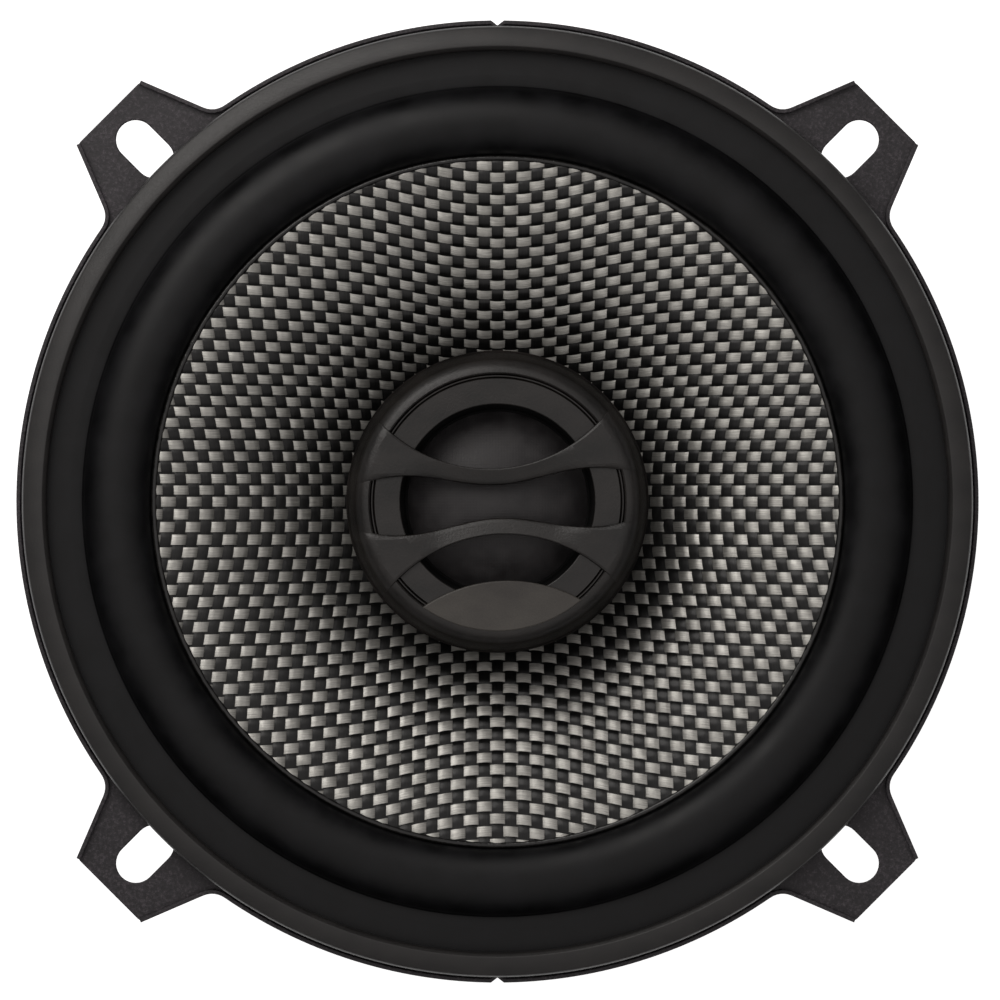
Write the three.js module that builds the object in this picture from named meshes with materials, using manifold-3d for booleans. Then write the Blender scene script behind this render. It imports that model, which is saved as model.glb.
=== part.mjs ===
// Coaxial car loudspeaker, 5.25 inch class: a woven cone on a stamped basket, with a dome
// tweeter on a post that stands on the magnet's pole.
// Millimetres. Z is the speaker's axis, the front faces +Z, and z = 0 is the back of the magnet boot.
// Touching pieces keep the clearance GAP, the thickness of a glue line.

import * as THREE from 'three';
import { mergeVertices } from 'three/addons/utils/BufferGeometryUtils.js';
import Module from 'manifold-3d';

const manifold = await Module();
manifold.setup();

// ---------------------------------------------------------------- driving dimensions

const GAP = 0.3;
const STEEL = 1.0;
const DEG = Math.PI / 180;
const WIDE = 36;
const MEDIUM = 24;
const SMALL = 12;
const CUT_MARGIN = 1;

// Mounting flange with four ears on the diagonals
const MOUNT_Z = 54;
const FLANGE_Z = MOUNT_Z + STEEL;
const RIM_R = 66.5;
const EAR_COUNT = 4;
const EAR_REACH = 76;
const EAR_END_HALF = 6.3;
const EAR_BASE_HALF = 10.4;
const EAR_FILLET = 1.8;
const EAR_CORNER = 0.7;
const LIP_WIDTH = 0.6;
const LIP_HEIGHT = 1.0;
const SLOT_WIDTH = 5.4;
const SLOT_INNER_R = 64.4;
const SLOT_OUTER_R = 73.5;
const NOTCH_HALF = 0.9;
const NOTCH_DEPTH = 0.7;

// Basket bowl
const SEAT_INNER_R = 57.6;
const SHOULDER_R = 55.5;
const SHOULDER_DROP = 8.4;
const SHELF_Z = 27;
const SHELF_INNER_R = 31;
const SHELF_OUTER_R = 39;
const FLOOR_INNER_R = 22.5;
const FLOOR_OUTER_R = 30.2;
const WINDOW_COUNT = 4;
const WINDOW_HALF_ANGLE = 29 * DEG;
const WINDOW_INNER_R = 41;
const WINDOW_OUTER_R = 54.4;
const WINDOW_CORNER = 3.5 * DEG;
const WINDOW_CORNER_DEPTH = 3;

// Moving system of the woofer
const RUBBER = 0.7;
const CONE_SHEET = 0.7;
const CONE_R = 47.6;
const CONE_DEPTH = 17.5;
const CONE_CURVE = 0.6;
const NECK_R = 13.35;
const ROLL_INNER_R = 48;
const ROLL_OUTER_R = 57.2;
const ROLL_HEIGHT = 3.4;
const SURROUND_R = 64;
const SURROUND_LIP_R = 44.8;
const FORMER_R = 12.7;
const FORMER_WALL = 0.3;
const COIL_GLUE = 0.05;
const COIL_WALL = 0.5;
const COIL_HEIGHT = 8.6;
const SPIDER_SHEET = 0.5;
const SPIDER_R = 33.8;
const SPIDER_WAVES = 3;
const SPIDER_WAVE_HEIGHT = 1.1;
const SPIDER_COLLAR = 2.2;
const SPIDER_LANDING = 3;
const FORMER_OVER_NECK = 1.4;
const FORMER_UNDER_COIL = 0.6;

// Motor
const BOOT_WALL = 1.6;
const BOOT_FLOOR = 2.2;
const BOOT_OPENING_R = 25;
const BOOT_NOTCH = 5;
const YOKE_R = 33;
const YOKE_PLATE = 4.5;
const POLE_R = 12.15;
const POLE_HOLE_R = 3.3;
const POLE_RISE = 0.5;
const NUT_POCKET_R = 8.6;
const NUT_POCKET = 3;
const MAGNET_R = 35;
const MAGNET_BORE_R = 17;
const MAGNET_HEIGHT = 10;
const TOP_PLATE_R = 32.5;
const TOP_PLATE_BORE_R = 13.95;
const TOP_PLATE_HEIGHT = 4;

// Tweeter on its post
const TWEETER_R = 20.9;
const TWEETER_FRONT_Z = 61.1;
const TWEETER_TWIST = 2.6 * DEG;
const HOUSING_TOP_Z = 56;
const HOUSING_FLOOR_Z = 44.6;
const POST_R = 6.5;
const DOME_R = 12.6;
const DOME_RISE = 4;
const DOME_BASE_Z = 54.6;
const DOME_SHEET = 0.3;
const TWEETER_COIL_R = 12.35;
const STUD_R = 3;
const STUD_BORE_R = 1.9;

// Terminals, behind the spoke on this diagonal
const TERMINAL_ANGLE = -45 * DEG;
const BOARD_THICKNESS = 1.4;
const BOARD_HALF_WIDTH = 11.5;
const BOARD_INNER_R = 33.6;
const BOARD_OUTER_R = 49;
const TAB_THICKNESS = 0.8;
const TAB_OFFSET = 7.5;
const TAB_LEG_R = 41.5;
const TAB_TIP_R = 56;
const LEAD_R = 0.5;
const TINSEL_R = 0.7;
const TINSEL_END_R = 44;
const TAB_LEG_DROP = 0.8;

// ---------------------------------------------------------------- heights that follow

const YOKE_Z = BOOT_FLOOR + GAP;
const YOKE_TOP_Z = YOKE_Z + YOKE_PLATE;
const MAGNET_Z = YOKE_TOP_Z + GAP;
const TOP_PLATE_Z = MAGNET_Z + MAGNET_HEIGHT + GAP;
const TOP_PLATE_TOP_Z = TOP_PLATE_Z + TOP_PLATE_HEIGHT;
const FLOOR_Z = TOP_PLATE_TOP_Z + GAP;
const POLE_TOP_Z = TOP_PLATE_TOP_Z + POLE_RISE;
const SEAT_Z = FLANGE_Z + GAP;
const SURROUND_Z = SEAT_Z + RUBBER;
const NECK_Z = SURROUND_Z - CONE_DEPTH;
const SPIDER_Z = SHELF_Z + GAP + SPIDER_SHEET;
const COIL_R = FORMER_R + FORMER_WALL + COIL_GLUE;
const BOARD_TOP_Z = SHELF_Z - STEEL - GAP;
const BOARD_Z = BOARD_TOP_Z - BOARD_THICKNESS;
const TAB_TOP_Z = BOARD_TOP_Z + GAP + TAB_THICKNESS;

// ---------------------------------------------------------------- materials

function standard(color, roughness, metalness) {
  return new THREE.MeshStandardMaterial({ color, roughness, metalness });
}


const powderCoat = standard(0x2a272b, 0.75, 0.3);
const gasketFoam = standard(0x3d3b3a, 0.8, 0);
const rubber = standard(0x1b1a1d, 0.7, 0);
const wovenCone = standard(0x8f8f8b, 0.45, 0.1);
const spiderCloth = standard(0xb98f4e, 0.9, 0);
const formerFilm = standard(0x9a6a2c, 0.5, 0.1);
const copper = standard(0xb5623a, 0.35, 1);
const zincSteel = standard(0xb9bcc0, 0.35, 1);
const ferrite = standard(0x3a3a3d, 0.6, 0.2);
const bootRubber = standard(0x1d1d1f, 0.8, 0);
const blackPlastic = standard(0x302e30, 0.55, 0);
const domeSilk = standard(0x3b393b, 0.6, 0);
const neodymium = standard(0xc9ccd1, 0.25, 1);
const boardLaminate = standard(0x6b4a2a, 0.7, 0);
const brass = standard(0xc9a24c, 0.35, 1);
const tinsel = standard(0xb7a07a, 0.6, 0.6);
const leadRed = standard(0x8e2420, 0.6, 0);
const leadBlack = standard(0x1e1e20, 0.6, 0);
const capacitorSleeve = standard(0x24314f, 0.45, 0);

// ---------------------------------------------------------------- geometry helpers

const speaker = new THREE.Group();

function add(name, geometry, material, parent = speaker) {
  const mesh = new THREE.Mesh(geometry, material);
  mesh.name = name;
  parent.add(mesh);
  return mesh;
}

// Points along a curve given by a function of 0..1.
function sample(count, pointAt) {
  return Array.from({ length: count + 1 }, (_, step) => pointAt(step / count));
}

// A solid turned about Z from [radius, height] points in anticlockwise order, starting and ending on the axis.
function turned(profile, segments) {
  const points = profile.map(([radius, height]) => new THREE.Vector2(radius, height));
  return new THREE.LatheGeometry(points, segments).rotateX(Math.PI / 2);
}

// A ring turned about Z from a closed profile in anticlockwise order.
function ring(profile, segments) {
  return turned([...profile, profile[0]], segments);
}

// A plain ring or tube between two radii and two heights.
function sleeve(innerR, outerR, bottomZ, topZ, segments) {
  return ring([[innerR, bottomZ], [outerR, bottomZ], [outerR, topZ], [innerR, topZ]], segments);
}

// The closed profile of a sheet: an open line that runs outwards is its front, the back is one gauge behind it.
function sheet(line, gauge) {
  const rightOf = line.slice(1).map(([radius, height], index) => {
    const [fromR, fromZ] = line[index];
    const length = Math.hypot(radius - fromR, height - fromZ);
    return [(height - fromZ) / length, (fromR - radius) / length];
  });
  const back = line.map(([radius, height], index) => {
    const before = rightOf[Math.max(index - 1, 0)];
    const after = rightOf[Math.min(index, rightOf.length - 1)];
    const mitre = gauge / (1 + before[0] * after[0] + before[1] * after[1]);
    return [radius + (before[0] + after[0]) * mitre, height + (before[1] + after[1]) * mitre];
  });
  return [...back, ...line.toReversed()];
}

// A flat shape extruded upwards between two heights.
function plate(shape, bottomZ, topZ, curveSegments = 6) {
  const options = { depth: topZ - bottomZ, bevelEnabled: false, curveSegments };
  return new THREE.ExtrudeGeometry(shape, options).translate(0, 0, bottomZ);
}

// An upright cylinder with its centre line at x, y.
function rod(radius, bottomZ, topZ, segments, x = 0, y = 0) {
  const height = topZ - bottomZ;
  const geometry = new THREE.CylinderGeometry(radius, radius, height, segments).rotateX(Math.PI / 2);
  return geometry.translate(x, y, bottomZ + height / 2);
}

// A wire along a smooth line through the points.
function wire(points, radius, steps) {
  const sides = 8;
  const corners = sample(sides, (part) => {
    const angle = part * 2 * Math.PI;
    return new THREE.Vector2(radius * Math.cos(angle), radius * Math.sin(angle));
  });
  const extrudePath = new THREE.CatmullRomCurve3(points, false, 'centripetal');
  return new THREE.ExtrudeGeometry(new THREE.Shape(corners.slice(0, sides)), { steps, extrudePath });
}

function solid(geometry) {
  const bare = geometry.clone();
  bare.deleteAttribute('normal');
  bare.deleteAttribute('uv');
  const merged = mergeVertices(bare, 1e-4);
  const triangles = [];
  for (let at = 0; at < merged.index.count; at += 3) {
    const [a, b, c] = merged.index.array.slice(at, at + 3);
    if (a !== b && b !== c && c !== a) triangles.push(a, b, c);
  }
  const vertProperties = new Float32Array(merged.attributes.position.array);
  const triVerts = new Uint32Array(triangles);
  return new manifold.Manifold(new manifold.Mesh({ numProp: 3, vertProperties, triVerts }));
}

function geometryOf(body) {
  const { vertProperties, triVerts } = body.getMesh();
  const geometry = new THREE.BufferGeometry();
  geometry.setAttribute('position', new THREE.BufferAttribute(new Float32Array(vertProperties), 3));
  geometry.setIndex(new THREE.BufferAttribute(new Uint32Array(triVerts), 1));
  geometry.computeVertexNormals();
  return geometry;
}

// The first geometry, joined with some and then cut by others.
function shaped(first, joins, cuts) {
  const joined = joins.reduce((body, other) => body.add(solid(other)), solid(first));
  return geometryOf(cuts.reduce((body, other) => body.subtract(solid(other)), joined));
}

// One item made for each of the directions, evenly spread from a first angle.
function around(count, firstAngle, make) {
  return Array.from({ length: count }, (_, index) => make(firstAngle + (index * 2 * Math.PI) / count));
}

// ---------------------------------------------------------------- basket

const EAR_BASE_U = Math.sqrt(RIM_R ** 2 - EAR_BASE_HALF ** 2);
const EAR_FIRST = 45 * DEG;
const FLANGE_CUT = [MOUNT_Z - CUT_MARGIN, FLANGE_Z + LIP_HEIGHT + CUT_MARGIN];

// A point given along and across a radial direction.
function polarPoint(angle, along, across) {
  const x = along * Math.cos(angle) - across * Math.sin(angle);
  const y = along * Math.sin(angle) + across * Math.cos(angle);
  return new THREE.Vector2(x, y);
}

// The point a given length from one point towards another.
function towards(from, to, length) {
  return from.clone().add(to.clone().sub(from).setLength(length));
}

function flangeOutline() {
  const shape = new THREE.Shape();
  const baseAngle = Math.asin(EAR_BASE_HALF / RIM_R) + EAR_FILLET / RIM_R;
  around(EAR_COUNT, EAR_FIRST, (angle) => {
    const base = [-1, 1].map((side) => polarPoint(angle, EAR_BASE_U, side * EAR_BASE_HALF));
    const end = [-1, 1].map((side) => polarPoint(angle, EAR_REACH, side * EAR_END_HALF));
    shape.absarc(0, 0, RIM_R, angle + baseAngle - Math.PI / 2, angle - baseAngle, false);
    const climb = towards(base[0], end[0], EAR_FILLET);
    shape.quadraticCurveTo(base[0].x, base[0].y, climb.x, climb.y);
    const corners = [[base[0], end[0], end[1]], [end[0], end[1], base[1]]];
    for (const [before, corner, after] of corners) {
      const into = towards(corner, before, EAR_CORNER);
      const away = towards(corner, after, EAR_CORNER);
      shape.lineTo(into.x, into.y);
      shape.lineTo(away.x, away.y);
    }
    const descend = towards(base[1], end[1], EAR_FILLET);
    const rim = polarPoint(angle + baseAngle, RIM_R, 0);
    shape.lineTo(descend.x, descend.y);
    shape.quadraticCurveTo(base[1].x, base[1].y, rim.x, rim.y);
  });
  return shape;
}

// The area inside the raised lip on one ear: the lip follows the slanted sides and leaves the end open.
function earInsideLip(angle) {
  const slope = (EAR_BASE_HALF - EAR_END_HALF) / (EAR_REACH - EAR_BASE_U);
  const inset = LIP_WIDTH * Math.hypot(1, slope);
  const halfAt = (along) => EAR_BASE_HALF - inset - slope * (along - EAR_BASE_U);
  const near = SEAT_INNER_R + 5;
  const far = EAR_REACH + CUT_MARGIN;
  const corners = [[near, -halfAt(near)], [far, -halfAt(far)], [far, halfAt(far)], [near, halfAt(near)]];
  return new THREE.Shape(corners.map(([along, across]) => polarPoint(angle, along, across)));
}

function earSlot(angle) {
  const half = SLOT_WIDTH / 2;
  const inner = polarPoint(angle, SLOT_INNER_R + half, 0);
  const outer = polarPoint(angle, SLOT_OUTER_R - half, 0);
  const shape = new THREE.Shape();
  shape.absarc(outer.x, outer.y, half, angle - Math.PI / 2, angle + Math.PI / 2, false);
  shape.absarc(inner.x, inner.y, half, angle + Math.PI / 2, angle + 1.5 * Math.PI, false);
  return plate(shape, ...FLANGE_CUT, 4);
}

function rimNotch(angle) {
  const corners = [[RIM_R - NOTCH_DEPTH, 0], [RIM_R + NOTCH_DEPTH, -2 * NOTCH_HALF], [RIM_R + NOTCH_DEPTH, 2 * NOTCH_HALF]];
  const shape = new THREE.Shape(corners.map(([along, across]) => polarPoint(angle, along, across)));
  return plate(shape, ...FLANGE_CUT);
}

function basketWindow(angle) {
  const shape = new THREE.Shape();
  const start = angle - WINDOW_HALF_ANGLE;
  const end = angle + WINDOW_HALF_ANGLE;
  shape.absarc(0, 0, WINDOW_OUTER_R, start + WINDOW_CORNER, end - WINDOW_CORNER, false);
  const cornerOut = polarPoint(end, WINDOW_OUTER_R, 0);
  const sideOut = polarPoint(end, WINDOW_OUTER_R - WINDOW_CORNER_DEPTH, 0);
  shape.quadraticCurveTo(cornerOut.x, cornerOut.y, sideOut.x, sideOut.y);
  shape.absarc(0, 0, WINDOW_INNER_R, end, start, true);
  const sideBack = polarPoint(start, WINDOW_OUTER_R - WINDOW_CORNER_DEPTH, 0);
  const cornerBack = polarPoint(start, WINDOW_OUTER_R, 0);
  const close = polarPoint(start + WINDOW_CORNER, WINDOW_OUTER_R, 0);
  shape.lineTo(sideBack.x, sideBack.y);
  shape.quadraticCurveTo(cornerBack.x, cornerBack.y, close.x, close.y);
  return plate(shape, FLOOR_Z, MOUNT_Z - CUT_MARGIN, 4);
}

const BASKET_RIVET_R = 26.3;
const RIVET_HOLE_R = 1.8;
const BOARD_RIVET_R = 36.2;
const BOARD_RIVET_OFFSET = 8;
const BOARD_RIVET_HOLE_R = 1.5;

// Centre lines of the rivets that hold the basket on the top plate.
const basketRivetPoints = around(4, 0, (angle) => polarPoint(angle, BASKET_RIVET_R, 0));

// Centre lines of the two rivets that hold the terminal board under the basket's shelf.
const boardRivetPoints = [-1, 1].map((side) => (
  polarPoint(TERMINAL_ANGLE, BOARD_RIVET_R, side * BOARD_RIVET_OFFSET)));

// The slot in the bowl through which a tinsel lead reaches its terminal.
function leadSlot(side) {
  const length = 5;
  const width = 4.4;
  const height = 20;
  const centre = polarPoint(TERMINAL_ANGLE, TINSEL_END_R, side * TAB_OFFSET);
  const slot = new THREE.BoxGeometry(length, width, height).rotateZ(TERMINAL_ANGLE);
  return slot.translate(centre.x, centre.y, SHELF_Z - CUT_MARGIN + height / 2);
}

function basket() {
  const seatOverlap = 2;
  const bowlFront = [
    [FLOOR_INNER_R, FLOOR_Z + STEEL],
    [FLOOR_OUTER_R, FLOOR_Z + STEEL],
    [SHELF_INNER_R, SHELF_Z],
    [SHELF_OUTER_R, SHELF_Z],
    [SHOULDER_R, FLANGE_Z - SHOULDER_DROP],
    [SEAT_INNER_R, FLANGE_Z],
    [SEAT_INNER_R + seatOverlap, FLANGE_Z],
  ];
  const lip = solid(plate(flangeOutline(), FLANGE_Z - STEEL / 2, FLANGE_Z + LIP_HEIGHT))
    .subtract(solid(rod(RIM_R - LIP_WIDTH, FLANGE_Z - STEEL, FLANGE_Z + 2 * LIP_HEIGHT, WIDE)));
  const earAreas = around(EAR_COUNT, EAR_FIRST, (angle) => (
    solid(plate(earInsideLip(angle), FLANGE_Z - STEEL, FLANGE_Z + 2 * LIP_HEIGHT))));
  const openLip = earAreas.reduce((body, area) => body.subtract(area), lip);
  const flange = solid(plate(flangeOutline(), MOUNT_Z, FLANGE_Z))
    .subtract(solid(rod(SEAT_INNER_R + seatOverlap / 2, ...FLANGE_CUT, WIDE)));
  const floorCut = [FLOOR_Z - CUT_MARGIN, FLOOR_Z + STEEL + CUT_MARGIN];
  const shelfCut = [SHELF_Z - STEEL - CUT_MARGIN, SHELF_Z + CUT_MARGIN];
  const cuts = [
    ...around(EAR_COUNT, EAR_FIRST, earSlot),
    ...around(2, 90 * DEG, rimNotch),
    ...around(WINDOW_COUNT, 0, basketWindow),
    ...basketRivetPoints.map(({ x, y }) => rod(RIVET_HOLE_R, ...floorCut, SMALL, x, y)),
    ...boardRivetPoints.map(({ x, y }) => rod(BOARD_RIVET_HOLE_R, ...shelfCut, SMALL, x, y)),
    leadSlot(-1),
    leadSlot(1),
  ];
  const whole = solid(ring(sheet(bowlFront, STEEL), WIDE)).add(flange).add(openLip);
  return geometryOf(cuts.reduce((body, cut) => body.subtract(solid(cut)), whole));
}

add('basket', basket(), powderCoat);

// ---------------------------------------------------------------- woofer's moving system

// Height of the cone's front at a radius: a little steeper towards the neck.
function coneZ(radius) {
  const depth = (CONE_R - radius) / (CONE_R - NECK_R);
  return SURROUND_Z - CONE_DEPTH * ((1 - CONE_CURVE) * depth + CONE_CURVE * depth ** 2);
}

function cone() {
  const front = sample(4, (part) => {
    const radius = NECK_R + part * (CONE_R - NECK_R);
    return [radius, coneZ(radius)];
  });
  return ring(sheet(front, CONE_SHEET), WIDE);
}

function surround() {
  const rollMiddle = (ROLL_INNER_R + ROLL_OUTER_R) / 2;
  const rollHalf = (ROLL_OUTER_R - ROLL_INNER_R) / 2;
  const front = [
    [SURROUND_LIP_R, coneZ(SURROUND_LIP_R) - CONE_SHEET - 2 * GAP],
    [ROLL_INNER_R, SURROUND_Z - CONE_SHEET - GAP],
    ...sample(6, (part) => {
      const angle = Math.PI * (1 - part);
      return [rollMiddle + rollHalf * Math.cos(angle), SURROUND_Z + ROLL_HEIGHT * Math.sin(angle)];
    }),
    [SURROUND_R, SURROUND_Z],
  ];
  return ring(sheet(front, RUBBER), WIDE);
}

function gasketRing() {
  const innerR = 62.2;
  const outerR = RIM_R - LIP_WIDTH - GAP;
  const edge = 0.6;
  const height = 3;
  const bottomZ = SURROUND_Z + GAP;
  const topZ = SURROUND_Z + height;
  return ring([
    [innerR, bottomZ],
    [SURROUND_R + GAP, bottomZ],
    [SURROUND_R + GAP, SEAT_Z],
    [outerR, SEAT_Z],
    [outerR, topZ - edge],
    [outerR - edge, topZ],
    [innerR + edge, topZ],
    [innerR, topZ - edge],
  ], WIDE);
}

function spider() {
  const startR = COIL_R + GAP;
  const waveStart = startR + SPIDER_COLLAR;
  const waveEnd = SPIDER_R - SPIDER_LANDING;
  const stepsPerWave = 4;
  const front = [
    [startR, SPIDER_Z],
    ...sample(stepsPerWave * SPIDER_WAVES, (part) => [
      waveStart + part * (waveEnd - waveStart),
      SPIDER_Z - SPIDER_WAVE_HEIGHT * Math.sin(part * SPIDER_WAVES * 2 * Math.PI),
    ]),
    [SPIDER_R, SPIDER_Z],
  ];
  return ring(sheet(front, SPIDER_SHEET), MEDIUM);
}

const COIL_MIDDLE_Z = TOP_PLATE_Z + TOP_PLATE_HEIGHT / 2;
const COIL_Z = COIL_MIDDLE_Z - COIL_HEIGHT / 2;
const FORMER_TOP_Z = NECK_Z + FORMER_OVER_NECK;

function voiceCoilFormer() {
  return sleeve(FORMER_R, FORMER_R + FORMER_WALL, COIL_Z - FORMER_UNDER_COIL, FORMER_TOP_Z, MEDIUM);
}

function voiceCoil() {
  return sleeve(COIL_R, COIL_R + COIL_WALL, COIL_Z, COIL_Z + COIL_HEIGHT, MEDIUM);
}

add('front_gasket_ring', gasketRing(), gasketFoam);
add('surround', surround(), rubber);
add('cone', cone(), wovenCone);
add('spider', spider(), spiderCloth);
add('voice_coil_former', voiceCoilFormer(), formerFilm);
add('voice_coil', voiceCoil(), copper);

// ---------------------------------------------------------------- motor

function topPlate() {
  const body = sleeve(TOP_PLATE_BORE_R, TOP_PLATE_R, TOP_PLATE_Z, TOP_PLATE_TOP_Z, MEDIUM);
  const holes = basketRivetPoints.map(({ x, y }) => (
    rod(RIVET_HOLE_R, TOP_PLATE_Z - CUT_MARGIN, TOP_PLATE_TOP_Z + CUT_MARGIN, SMALL, x, y)));
  return shaped(body, [], holes);
}

function ferriteMagnet() {
  return sleeve(MAGNET_BORE_R, MAGNET_R, MAGNET_Z, MAGNET_Z + MAGNET_HEIGHT, MEDIUM);
}

// Back plate and pole in one steel piece, with a pocket for the post's nut in its back.
function tYoke() {
  const chamfer = 1;
  return ring([
    [NUT_POCKET_R, YOKE_Z],
    [YOKE_R - chamfer, YOKE_Z],
    [YOKE_R, YOKE_Z + chamfer],
    [YOKE_R, YOKE_TOP_Z],
    [POLE_R, YOKE_TOP_Z],
    [POLE_R, POLE_TOP_Z],
    [POLE_HOLE_R, POLE_TOP_Z],
    [POLE_HOLE_R, YOKE_Z + NUT_POCKET],
    [NUT_POCKET_R, YOKE_Z + NUT_POCKET],
  ], MEDIUM);
}

// Rubber cup over the magnet, with a notch where the tweeter's leads leave it.
function magnetBoot() {
  const innerR = MAGNET_R + GAP;
  const outerR = innerR + BOOT_WALL;
  const chamfer = 1.2;
  const cup = ring([
    [BOOT_OPENING_R, 0],
    [outerR - chamfer, 0],
    [outerR, chamfer],
    [outerR, TOP_PLATE_Z],
    [innerR, TOP_PLATE_Z],
    [innerR, BOOT_FLOOR],
    [BOOT_OPENING_R, BOOT_FLOOR],
  ], MEDIUM);
  const notchLength = 20;
  const notch = new THREE.BoxGeometry(notchLength, BOOT_NOTCH, 2 * (BOOT_FLOOR + GAP));
  const centre = polarPoint(TERMINAL_ANGLE, outerR - notchLength / 4, 0);
  return shaped(cup, [], [notch.rotateZ(TERMINAL_ANGLE).translate(centre.x, centre.y, 0)]);
}

function basketRivet({ x, y }) {
  const headR = 3;
  const headRise = 1;
  const headSlope = 1.2;
  const headEdge = 0.4;
  const headZ = FLOOR_Z + STEEL + GAP;
  const profile = [
    [0, TOP_PLATE_Z + GAP],
    [RIVET_HOLE_R - GAP, TOP_PLATE_Z + GAP],
    [RIVET_HOLE_R - GAP, headZ],
    [headR, headZ],
    [headR, headZ + headEdge],
    [headR - headSlope, headZ + headRise],
    [0, headZ + headRise],
  ];
  return turned(profile, SMALL).translate(x, y, 0);
}

add('top_plate', topPlate(), zincSteel);
add('ferrite_magnet', ferriteMagnet(), ferrite);
add('t_yoke', tYoke(), zincSteel);
add('magnet_boot', magnetBoot(), bootRubber);
basketRivetPoints.forEach((point, index) => add(`basket_rivet_${index + 1}`, basketRivet(point), zincSteel));

// ---------------------------------------------------------------- tweeter post

const POST_Z = POLE_TOP_Z + GAP;
const POST_TOP_Z = HOUSING_FLOOR_Z - GAP;
const POST_THREAD = 10;
const POST_THREAD_TOP_Z = POST_Z + POST_THREAD;
const HOUSING_FLOOR = 1.6;
const SPIGOT_R = 4.3;
const STUD_END_DEPTH = 0.6;
const STUD_Z = YOKE_Z + STUD_END_DEPTH;
const NUT_HEIGHT = 1.6;
const WASHER_R = 7.4;
const WASHER_HEIGHT = 0.5;
const WASHER_Z = YOKE_Z + NUT_POCKET - GAP - WASHER_HEIGHT;
const NUT_Z = WASHER_Z - GAP - NUT_HEIGHT;

function tweeterPost() {
  const footR = 9.5;
  const headR = 9;
  const boreR = 2.6;
  const discHeight = 1.6;
  const coneHeight = 2.4;
  return ring([
    [STUD_R + GAP, POST_Z],
    [footR, POST_Z],
    [footR, POST_Z + discHeight],
    [POST_R, POST_Z + discHeight + coneHeight],
    [POST_R, POST_TOP_Z - discHeight - coneHeight],
    [headR, POST_TOP_Z - discHeight],
    [headR, POST_TOP_Z],
    [SPIGOT_R, POST_TOP_Z],
    [SPIGOT_R, HOUSING_FLOOR_Z + HOUSING_FLOOR - GAP],
    [boreR, HOUSING_FLOOR_Z + HOUSING_FLOOR - GAP],
    [boreR, POST_THREAD_TOP_Z],
    [STUD_R + GAP, POST_THREAD_TOP_Z],
  ], MEDIUM);
}

function postNut() {
  const cornerR = 5.8;
  const sides = 6;
  const body = rod(cornerR, NUT_Z, NUT_Z + NUT_HEIGHT, sides);
  return shaped(body, [], [rod(STUD_R + GAP, NUT_Z - CUT_MARGIN, NUT_Z + NUT_HEIGHT + CUT_MARGIN, SMALL)]);
}

add('tweeter_post', tweeterPost(), blackPlastic);
add('post_stud', sleeve(STUD_BORE_R, STUD_R, STUD_Z, POST_THREAD_TOP_Z - GAP, SMALL), zincSteel);
add('post_washer', sleeve(STUD_R + GAP, WASHER_R, WASHER_Z, WASHER_Z + WASHER_HEIGHT, SMALL), zincSteel);
add('post_nut', postNut(), zincSteel);

// ---------------------------------------------------------------- tweeter

const LEDGE_R = 17.6;
const LEDGE_Z = 53.7;
const OPENING_R = 13.4;
const FACEPLATE_Z = LEDGE_Z + GAP;
const FACEPLATE_TOP_Z = DOME_BASE_Z + 0.4;
const FACEPLATE_INNER_R = 13.6;
const FACEPLATE_OUTER_R = 18.8;
const BEZEL_WALL_INNER_R = 19.2;
const CUP_R = 15.6;
const CUP_BORE_R = 13.4;
const CUP_Z = 47.8;
const CUP_FLOOR = 1.5;
const POLE_PLATE_R = 12;
const POLE_PLATE_HEIGHT = 1.5;
const TWEETER_MAGNET_R = 10.8;
const TWEETER_MAGNET_HEIGHT = 2;
const TWEETER_COIL_WALL = 0.25;
const TWEETER_COIL_DROP = 0.6;

// Rear shell of the tweeter: its sides draw in towards the floor to stay clear of the moving cone.
function tweeterHousing() {
  const floorTopZ = HOUSING_FLOOR_Z + HOUSING_FLOOR;
  return ring([
    [SPIGOT_R + GAP, HOUSING_FLOOR_Z],
    [TWEETER_R - 5.9, HOUSING_FLOOR_Z],
    [TWEETER_R - 2.5, HOUSING_FLOOR_Z + 2.3],
    [TWEETER_R - 0.4, HOUSING_FLOOR_Z + 5.4],
    [TWEETER_R, HOUSING_TOP_Z],
    [BEZEL_WALL_INNER_R, HOUSING_TOP_Z],
    [BEZEL_WALL_INNER_R, LEDGE_Z],
    [LEDGE_R, LEDGE_Z],
    [LEDGE_R, floorTopZ + 1.3],
    [LEDGE_R - 2, floorTopZ],
    [SPIGOT_R + GAP, floorTopZ],
  ], WIDE);
}

const BAR_ARC_R = 20.7;
const BAR_OUTER_MIDDLE = 4.55;
const BADGE_MIDDLE = 10.9;
const BAR_REACH = 20;
const BADGE_REACH = 19;

// Height of a guard bar's or the badge plate's outer edge, a round arc, at a distance across from its middle.
function arcEdge(middle, across) {
  return middle + BAR_ARC_R - Math.sqrt(BAR_ARC_R ** 2 - across ** 2);
}

// Half height of a guard bar's inner edge, one slow wave across the opening.
function waveEdge(across) {
  const middle = 2.25;
  const swell = 0.9;
  const crest = 13;
  return middle + swell * (1 - Math.cos((Math.PI * across) / crest));
}

function guardBar(side) {
  const across = sample(12, (part) => BAR_REACH * (2 * part - 1));
  const outer = across.map((x) => new THREE.Vector2(x, side * arcEdge(BAR_OUTER_MIDDLE, x)));
  const inner = across.toReversed().map((x) => new THREE.Vector2(x, side * waveEdge(x)));
  return new THREE.Shape([...outer, ...inner]);
}

function badgePlate() {
  const across = sample(10, (part) => BADGE_REACH * (2 * part - 1));
  const edge = across.map((x) => new THREE.Vector2(x, -arcEdge(BADGE_MIDDLE, x)));
  const belowRing = -1.5 * TWEETER_R;
  const corners = [BADGE_REACH, -BADGE_REACH].map((x) => new THREE.Vector2(x, belowRing));
  return new THREE.Shape([...edge, ...corners]);
}

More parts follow.
